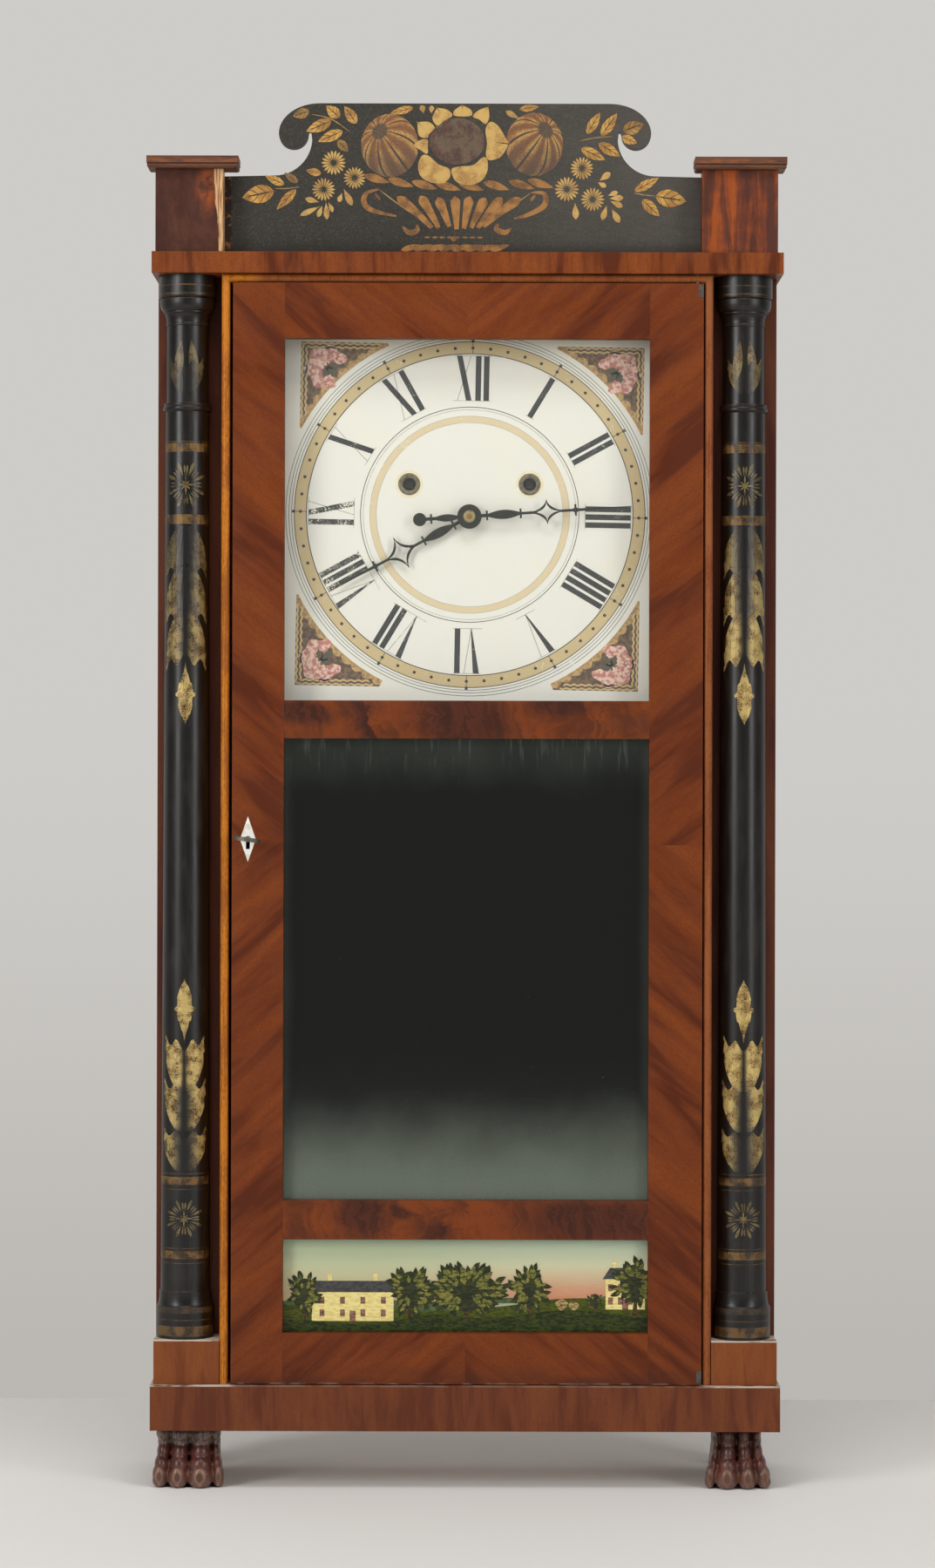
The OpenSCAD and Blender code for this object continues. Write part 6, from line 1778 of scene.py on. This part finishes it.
class CLOCK_OT_feet(bpy.types.Operator):
    """Carved paw feet, in place of their plain blocks"""

    bl_idname = "clock.feet"
    bl_label = "Paw feet"

    def execute(self, context):
        sizes, colours = context.scene.clock_sizes, context.scene.clock_colours
        material = self.carved_wood(colours)
        lower, upper = (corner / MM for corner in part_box("paw_feet"))
        # where the toes part, at the sole and at the top, as parts of the foot's width
        sole_parts = (0.0, 0.224, 0.502, 0.840, 1.0)
        top_parts = (0.0, 0.229, 0.530, 0.877, 1.0)
        # how far back each toe stands
        backs = (3.4, 0.6, 0.0, 4.2)
        # each foot's middle, half widths, side on which its first toe is, and cuff's fullness
        for name, x, half_sole, half_top, way, cuff in (
            ("left", lower.x + 23.4, 23.4, 20.3, 1, 1.0),
            ("right", upper.x - 21.7, 21.7, 15.6, -1, 0.78),
        ):
            toes = []
            for i in range(4):
                spot = []
                for half, parts in ((half_sole, sole_parts), (half_top, top_parts)):
                    middle = x + way * half * 1.03 * (parts[i] + parts[i + 1] - 1)
                    spot.append((middle, half * 1.06 * (parts[i + 1] - parts[i])))
                toes.append((*spot, backs[i]))
            made = self.paw(name, x, half_sole, half_top, lower.y, toes, cuff,
                            sizes.foot_grain, material)
            if name == "left":
                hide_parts("paw_feet")
        return {"FINISHED"}

    def paw(self, name, x, half_sole, half_top, front, toes, cuff, grain, material):
        """A foot grown together from lumps, with a cuff of hair over its toes. Each toe is
        given as (middle, half width) at the sole and at the top, and how far back it stands."""
        bm = bmesh.new()

        def lump(at, radii):
            made = bmesh.ops.create_icosphere(bm, subdivisions=3, radius=1.0)
            bmesh.ops.transform(
                bm, verts=made["verts"],
                matrix=Matrix.Translation(Vector(at) * MM)
                @ Matrix.Diagonal([r * MM for r in radii] + [1]))

        cuff_lump = (35.2, 0.00, 1.06 * cuff, 14.2, 9.6, 6.6)
        for (sole_x, sole_w), (top_x, top_w), back in toes:
            for z, share, full, deep, thick, tall in (*TOE_LUMPS, cuff_lump):
                wide = blend(top_w, sole_w, share) * full
                lump((blend(top_x, sole_x, share), front + deep + back, z), (wide, thick, tall))
        body = bmesh.ops.create_cube(bm, size=1.0)
        for vert in body["verts"]:
            deep = 46.0 if vert.co.y > 0 else 17.0
            wide = half_top * 0.93 if vert.co.z > 0 else half_sole * 0.86
            vert.co = Vector((x + (wide if vert.co.x > 0 else -wide), front + deep,
                              FOOT_TALL - 0.1 if vert.co.z > 0 else 0.3)) * MM
        made = piece("paw_foot_" + name, bm, material, "case", "feet_wood")
        remesh = made.modifiers.new("carve", "REMESH")
        remesh.mode, remesh.voxel_size, remesh.use_smooth_shade = "VOXEL", grain, True
        self.apply(made)
        self.cut_detail(made, x, front, half_sole)
        claws = bmesh.new()
        claws.from_mesh(made.data)
        for (sole_x, sole_w), _, back in toes:
            self.claw(claws, sole_x, front + 1.0 + back, sole_w)
        for face in claws.faces:
            face.smooth = True
        claws.to_mesh(made.data)
        claws.free()
        return made

    def apply(self, made):
        """Keeps the mesh that the modifiers give."""
        graph = bpy.context.evaluated_depsgraph_get()
        mesh = bpy.data.meshes.new_from_object(made.evaluated_get(graph))
        made.modifiers.clear()
        made.data = mesh

    def cut_detail(self, made, x, front, half_sole):
        """Squares the foot to its block, and cuts hair into the cuffs."""
        bm = bmesh.new()
        bm.from_mesh(made.data)
        bmesh.ops.smooth_vert(bm, verts=bm.verts, factor=0.5, use_axis_x=True,
                              use_axis_y=True, use_axis_z=True)
        for vert in bm.verts:
            point = vert.co / MM
            hair = ease(HAIR_FROM, 30.0, point.z) * (1 - ease(37.5, 39.5, point.z))
            groove = math.sin((point.x + noise.noise(point * 0.25) * 1.4) * 4.6)
            groove += 0.5 * math.sin(point.x * 9.1 + point.z * 0.3)
            vert.co -= vert.normal * (0.28 * groove * hair + 0.12 * hair) * MM
        for at, way in (
            ((0, 0, 0), (0, 0, -1)), ((0, 0, FOOT_TALL), (0, 0, 1)), ((0, front, 0), (0, -1, 0)),
            ((x - half_sole, 0, 0), (-1, 0, 0)), ((x + half_sole, 0, 0), (1, 0, 0)),
        ):
            at, way = Vector(at) * MM, Vector(way)
            for vert in bm.verts:
                beyond = (vert.co - at).dot(way)
                if beyond > 0:
                    vert.co -= way * beyond
        bm.to_mesh(made.data)
        bm.free()

    def claw(self, bm, x, y, half_toe):
        """A blunt oval claw at the front of a toe. Its mark falls towards its middle."""
        marks = layers(bm)[2]
        made = bmesh.ops.create_uvsphere(bm, u_segments=16, v_segments=12, radius=1.0)
        wide = min(half_toe * 0.52, 4.4)
        for vert in made["verts"]:
            vert[marks] = blend(0.35, 1.0, ease(0.25, 0.75, math.hypot(vert.co.x, vert.co.z)))
            slim = 1 - 0.25 * max(0.0, -vert.co.z)
            vert.co = Vector((x + vert.co.x * wide * slim, y + 2.2 + vert.co.y * 2.2,
                              max(0.05, 7.6 + vert.co.z * 6.4))) * MM

    def carved_wood(self, colours):
        """Stained wood of the paws, with paler hair and claws, darker towards the top as painted
        shade under the cuff and the base, and the right paw's cuff kept dark as painted shade.
        """
        finish = Finish("carved_foot_wood")
        place = finish.place()
        x, _, z = finish.parts(place)
        claw = finish.mark("tone")
        # painted shade: the right paw's cuff keeps only a quarter of the hair's paler colour
        hair = z.span(HAIR_FROM, 29.5) * (1 - x.over(0.0) * 0.75)
        streak = finish.noise(place, (1.0, 1.4, 14.0), 3, 0.6)
        blot = finish.noise(place, 7.0, 3)
        toe = finish.mix(blot.span(0.38, 0.64), colours.foot, shade(102, 54, 44))
        toe = finish.mix(streak.span(0.45, 0.65) * 0.3, toe, shade(52, 22, 20))
        # painted shade: the toes darken towards the top, under the cuff and the base
        toe = finish.mix(z.span(20.0, 30.0) * 0.5, toe, shade(48, 26, 22))
        toe = finish.mix(z.span(13.0, 3.0) * 0.55, toe, shade(112, 84, 72))
        cuff = finish.mix(streak.span(0.38, 0.60), shade(70, 58, 52), shade(128, 112, 102))
        base = finish.mix(hair * 0.75, toe, cuff)
        nail = finish.mix(claw.span(0.5, 0.95), shade(80, 56, 46), shade(132, 96, 76))
        nail = finish.mix(x.over(0.0) * 0.5, nail, shade(96, 62, 48))
        base = finish.mix(claw.over(0.01), base, nail)
        base = finish.worn(base, 1.6, 0.45, shade(134, 106, 90))[1]
        rubbed = finish.noise(place, (3.0, 4, 6.0), 4, 0.65).span(0.52, 0.66)
        base = finish.mix(rubbed * 0.35, base, shade(120, 98, 86))
        return finish.done(base, 0.24 + blot * 0.15, finish.bump(streak, 0.06, 0.5),
                           shine=0.45)


# ---------------------------------------------------------------- stage


# How far behind the clock's middle the floor ends and the backdrop stands, in metres.
FLOOR_BACK = 0.337
WALL_BACK = 1.3


class CLOCK_OT_stage(bpy.types.Operator):
    """Floor, backdrop, lamps and camera"""

    bl_idname = "clock.stage"
    bl_label = "Stage"

    def execute(self, context):
        studio = context.scene.clock_studio
        camera = bpy.data.cameras.new("camera")
        camera.sensor_fit, camera.sensor_height, camera.lens = "VERTICAL", 36.0, studio.lens
        view = bpy.data.objects.new("camera", camera)
        view.location = studio.eye
        view.rotation_euler = (math.radians(90), studio.roll, 0)
        context.scene.collection.objects.link(view)
        context.scene.camera = view
        context.scene.view_settings.view_transform = "Standard"
        self.lamp("left_lamp", (-2.0, -2.1, 1.35), studio.left_power, (0.9, 1.7))
        self.lamp("right_lamp", (2.05, -2.1, 1.15), studio.right_power, (0.8, 1.7))
        self.lamp("top_lamp", (0.0, -1.2, 2.3), studio.top_power, (1.5, 0.7), (0.0, -0.6, 0.0))
        self.lamp("back_lamp", (0.0, 1.25, 1.9), studio.back_power, (1.6, 0.8))
        # the camera sees a plain wall all round, and everything else the room's own light
        world = bpy.data.worlds.new("room")
        context.scene.world = world
        world.use_nodes = True
        nodes, links = world.node_tree.nodes, world.node_tree.links
        room, plain = nodes["Background"], nodes.new("ShaderNodeBackground")
        room.inputs["Color"].default_value = shade(250, 250, 252)
        room.inputs["Strength"].default_value = studio.ambient
        plain.inputs["Color"].default_value = tuple(studio.wall)
        seen, both = nodes.new("ShaderNodeLightPath"), nodes.new("ShaderNodeMixShader")
        links.new(seen.outputs["Is Camera Ray"], both.inputs[0])
        links.new(room.outputs[0], both.inputs[1])
        links.new(plain.outputs[0], both.inputs[2])
        links.new(both.outputs[0], nodes["World Output"].inputs["Surface"])
        self.sheet("floor", [(x, y, 0) for x, y in (
            (-4, -4), (4, -4), (4, FLOOR_BACK), (-4, FLOOR_BACK))],
                   self.floor_card(studio.floor))
        self.sheet("backdrop", [(x, WALL_BACK, z) for x, z in (
            (-5, -1.5), (5, -1.5), (5, 4), (-5, 4))], self.wall_card(studio.wall))
        return {"FINISHED"}

    def lamp(self, name, place, power, size, target=(0.0, 0.0, 0.45)):
        """A flat lamp that faces a target, by default the clock's middle."""
        data = bpy.data.lights.new(name, "AREA")
        data.shape, data.energy = "RECTANGLE", power
        data.size, data.size_y = size
        lamp = bpy.data.objects.new(name, data)
        lamp.location = place
        aim = Vector(target) - Vector(place)
        lamp.rotation_euler = aim.to_track_quat("-Z", "Y").to_euler()
        bpy.context.scene.collection.objects.link(lamp)

    def sheet(self, name, corners, material):
        """A flat piece of the stage."""
        bm = bmesh.new()
        bm.faces.new([bm.verts.new(corner) for corner in corners])
        mesh = bpy.data.meshes.new(name)
        bm.to_mesh(mesh)
        bm.free()
        made = bpy.data.objects.new(name, mesh)
        mesh.materials.append(material)
        bpy.context.scene.collection.objects.link(made)

    def floor_card(self, tint):
        """Matt paper with faint clouds."""
        finish = Finish("floor_card")
        place = finish.place()
        cloud = finish.noise(place, 900.0, 2)
        base = finish.mix(cloud.span(0.3, 0.7) * 0.08, tuple(tint), shade(190, 186, 180))
        return finish.done(base, 0.9)

    def wall_card(self, tint):
        """Paper, darkened towards its foot as painted shade, which shows its own colour to the
        camera and in reflections, and can't be seen from its back."""
        finish = Finish("wall_card")
        z = finish.parts(finish.place())[2]
        # painted shade: the backdrop darkens towards the floor
        base = finish.mix(z.span(-200.0, 560.0), shade(186, 183, 178), tuple(tint))
        glow = finish.node("ShaderNodeEmission", {"Color": base, "Strength": 1.0})
        matt = finish.node("ShaderNodeBsdfDiffuse", {"Color": base})
        seen = finish.node("ShaderNodeLightPath", out="Is Camera Ray")
        for ray in ("Is Glossy Ray", "Is Transmission Ray"):
            seen = seen.most(finish.node("ShaderNodeLightPath", out=ray))
        both = finish.node("ShaderNodeMixShader", {0: seen, 1: matt, 2: glow})
        behind = finish.node("ShaderNodeNewGeometry", out="Backfacing")
        clear = finish.node("ShaderNodeBsdfTransparent")
        both = finish.node("ShaderNodeMixShader", {0: behind, 1: both, 2: clear})
        finish.node("ShaderNodeOutputMaterial", {0: both})
        return finish.material


OPERATORS = (
    CLOCK_OT_stage, CLOCK_OT_case_woods, CLOCK_OT_door_woods, CLOCK_OT_movement,
    CLOCK_OT_columns, CLOCK_OT_splat, CLOCK_OT_dial, CLOCK_OT_glasses, CLOCK_OT_feet,
)


class CLOCK_PT_panel(bpy.types.Panel):
    """Steps of dressing the clock"""

    bl_idname = "CLOCK_PT_panel"
    bl_label = "Shelf clock"
    bl_space_type = "VIEW_3D"
    bl_region_type = "UI"
    bl_category = "Clock"

    def draw(self, context):
        for each in OPERATORS:
            self.layout.operator(each.bl_idname)


GROUPS = {"clock_sizes": ClockSizes, "clock_colours": ClockColours, "clock_studio": ClockStudio}


def register():
    for each in (*GROUPS.values(), *OPERATORS, CLOCK_PT_panel):
        bpy.utils.register_class(each)
    for name, group in GROUPS.items():
        setattr(bpy.types.Scene, name, bpy.props.PointerProperty(type=group))


def unregister():
    for name in GROUPS:
        delattr(bpy.types.Scene, name)
    for each in (CLOCK_PT_panel, *reversed(OPERATORS), *reversed(list(GROUPS.values()))):
        bpy.utils.unregister_class(each)


def main():
    register()
    for each in OPERATORS:
        family, action = each.bl_idname.split(".")
        getattr(getattr(bpy.ops, family), action)()


if __name__ == "__main__":
    main()
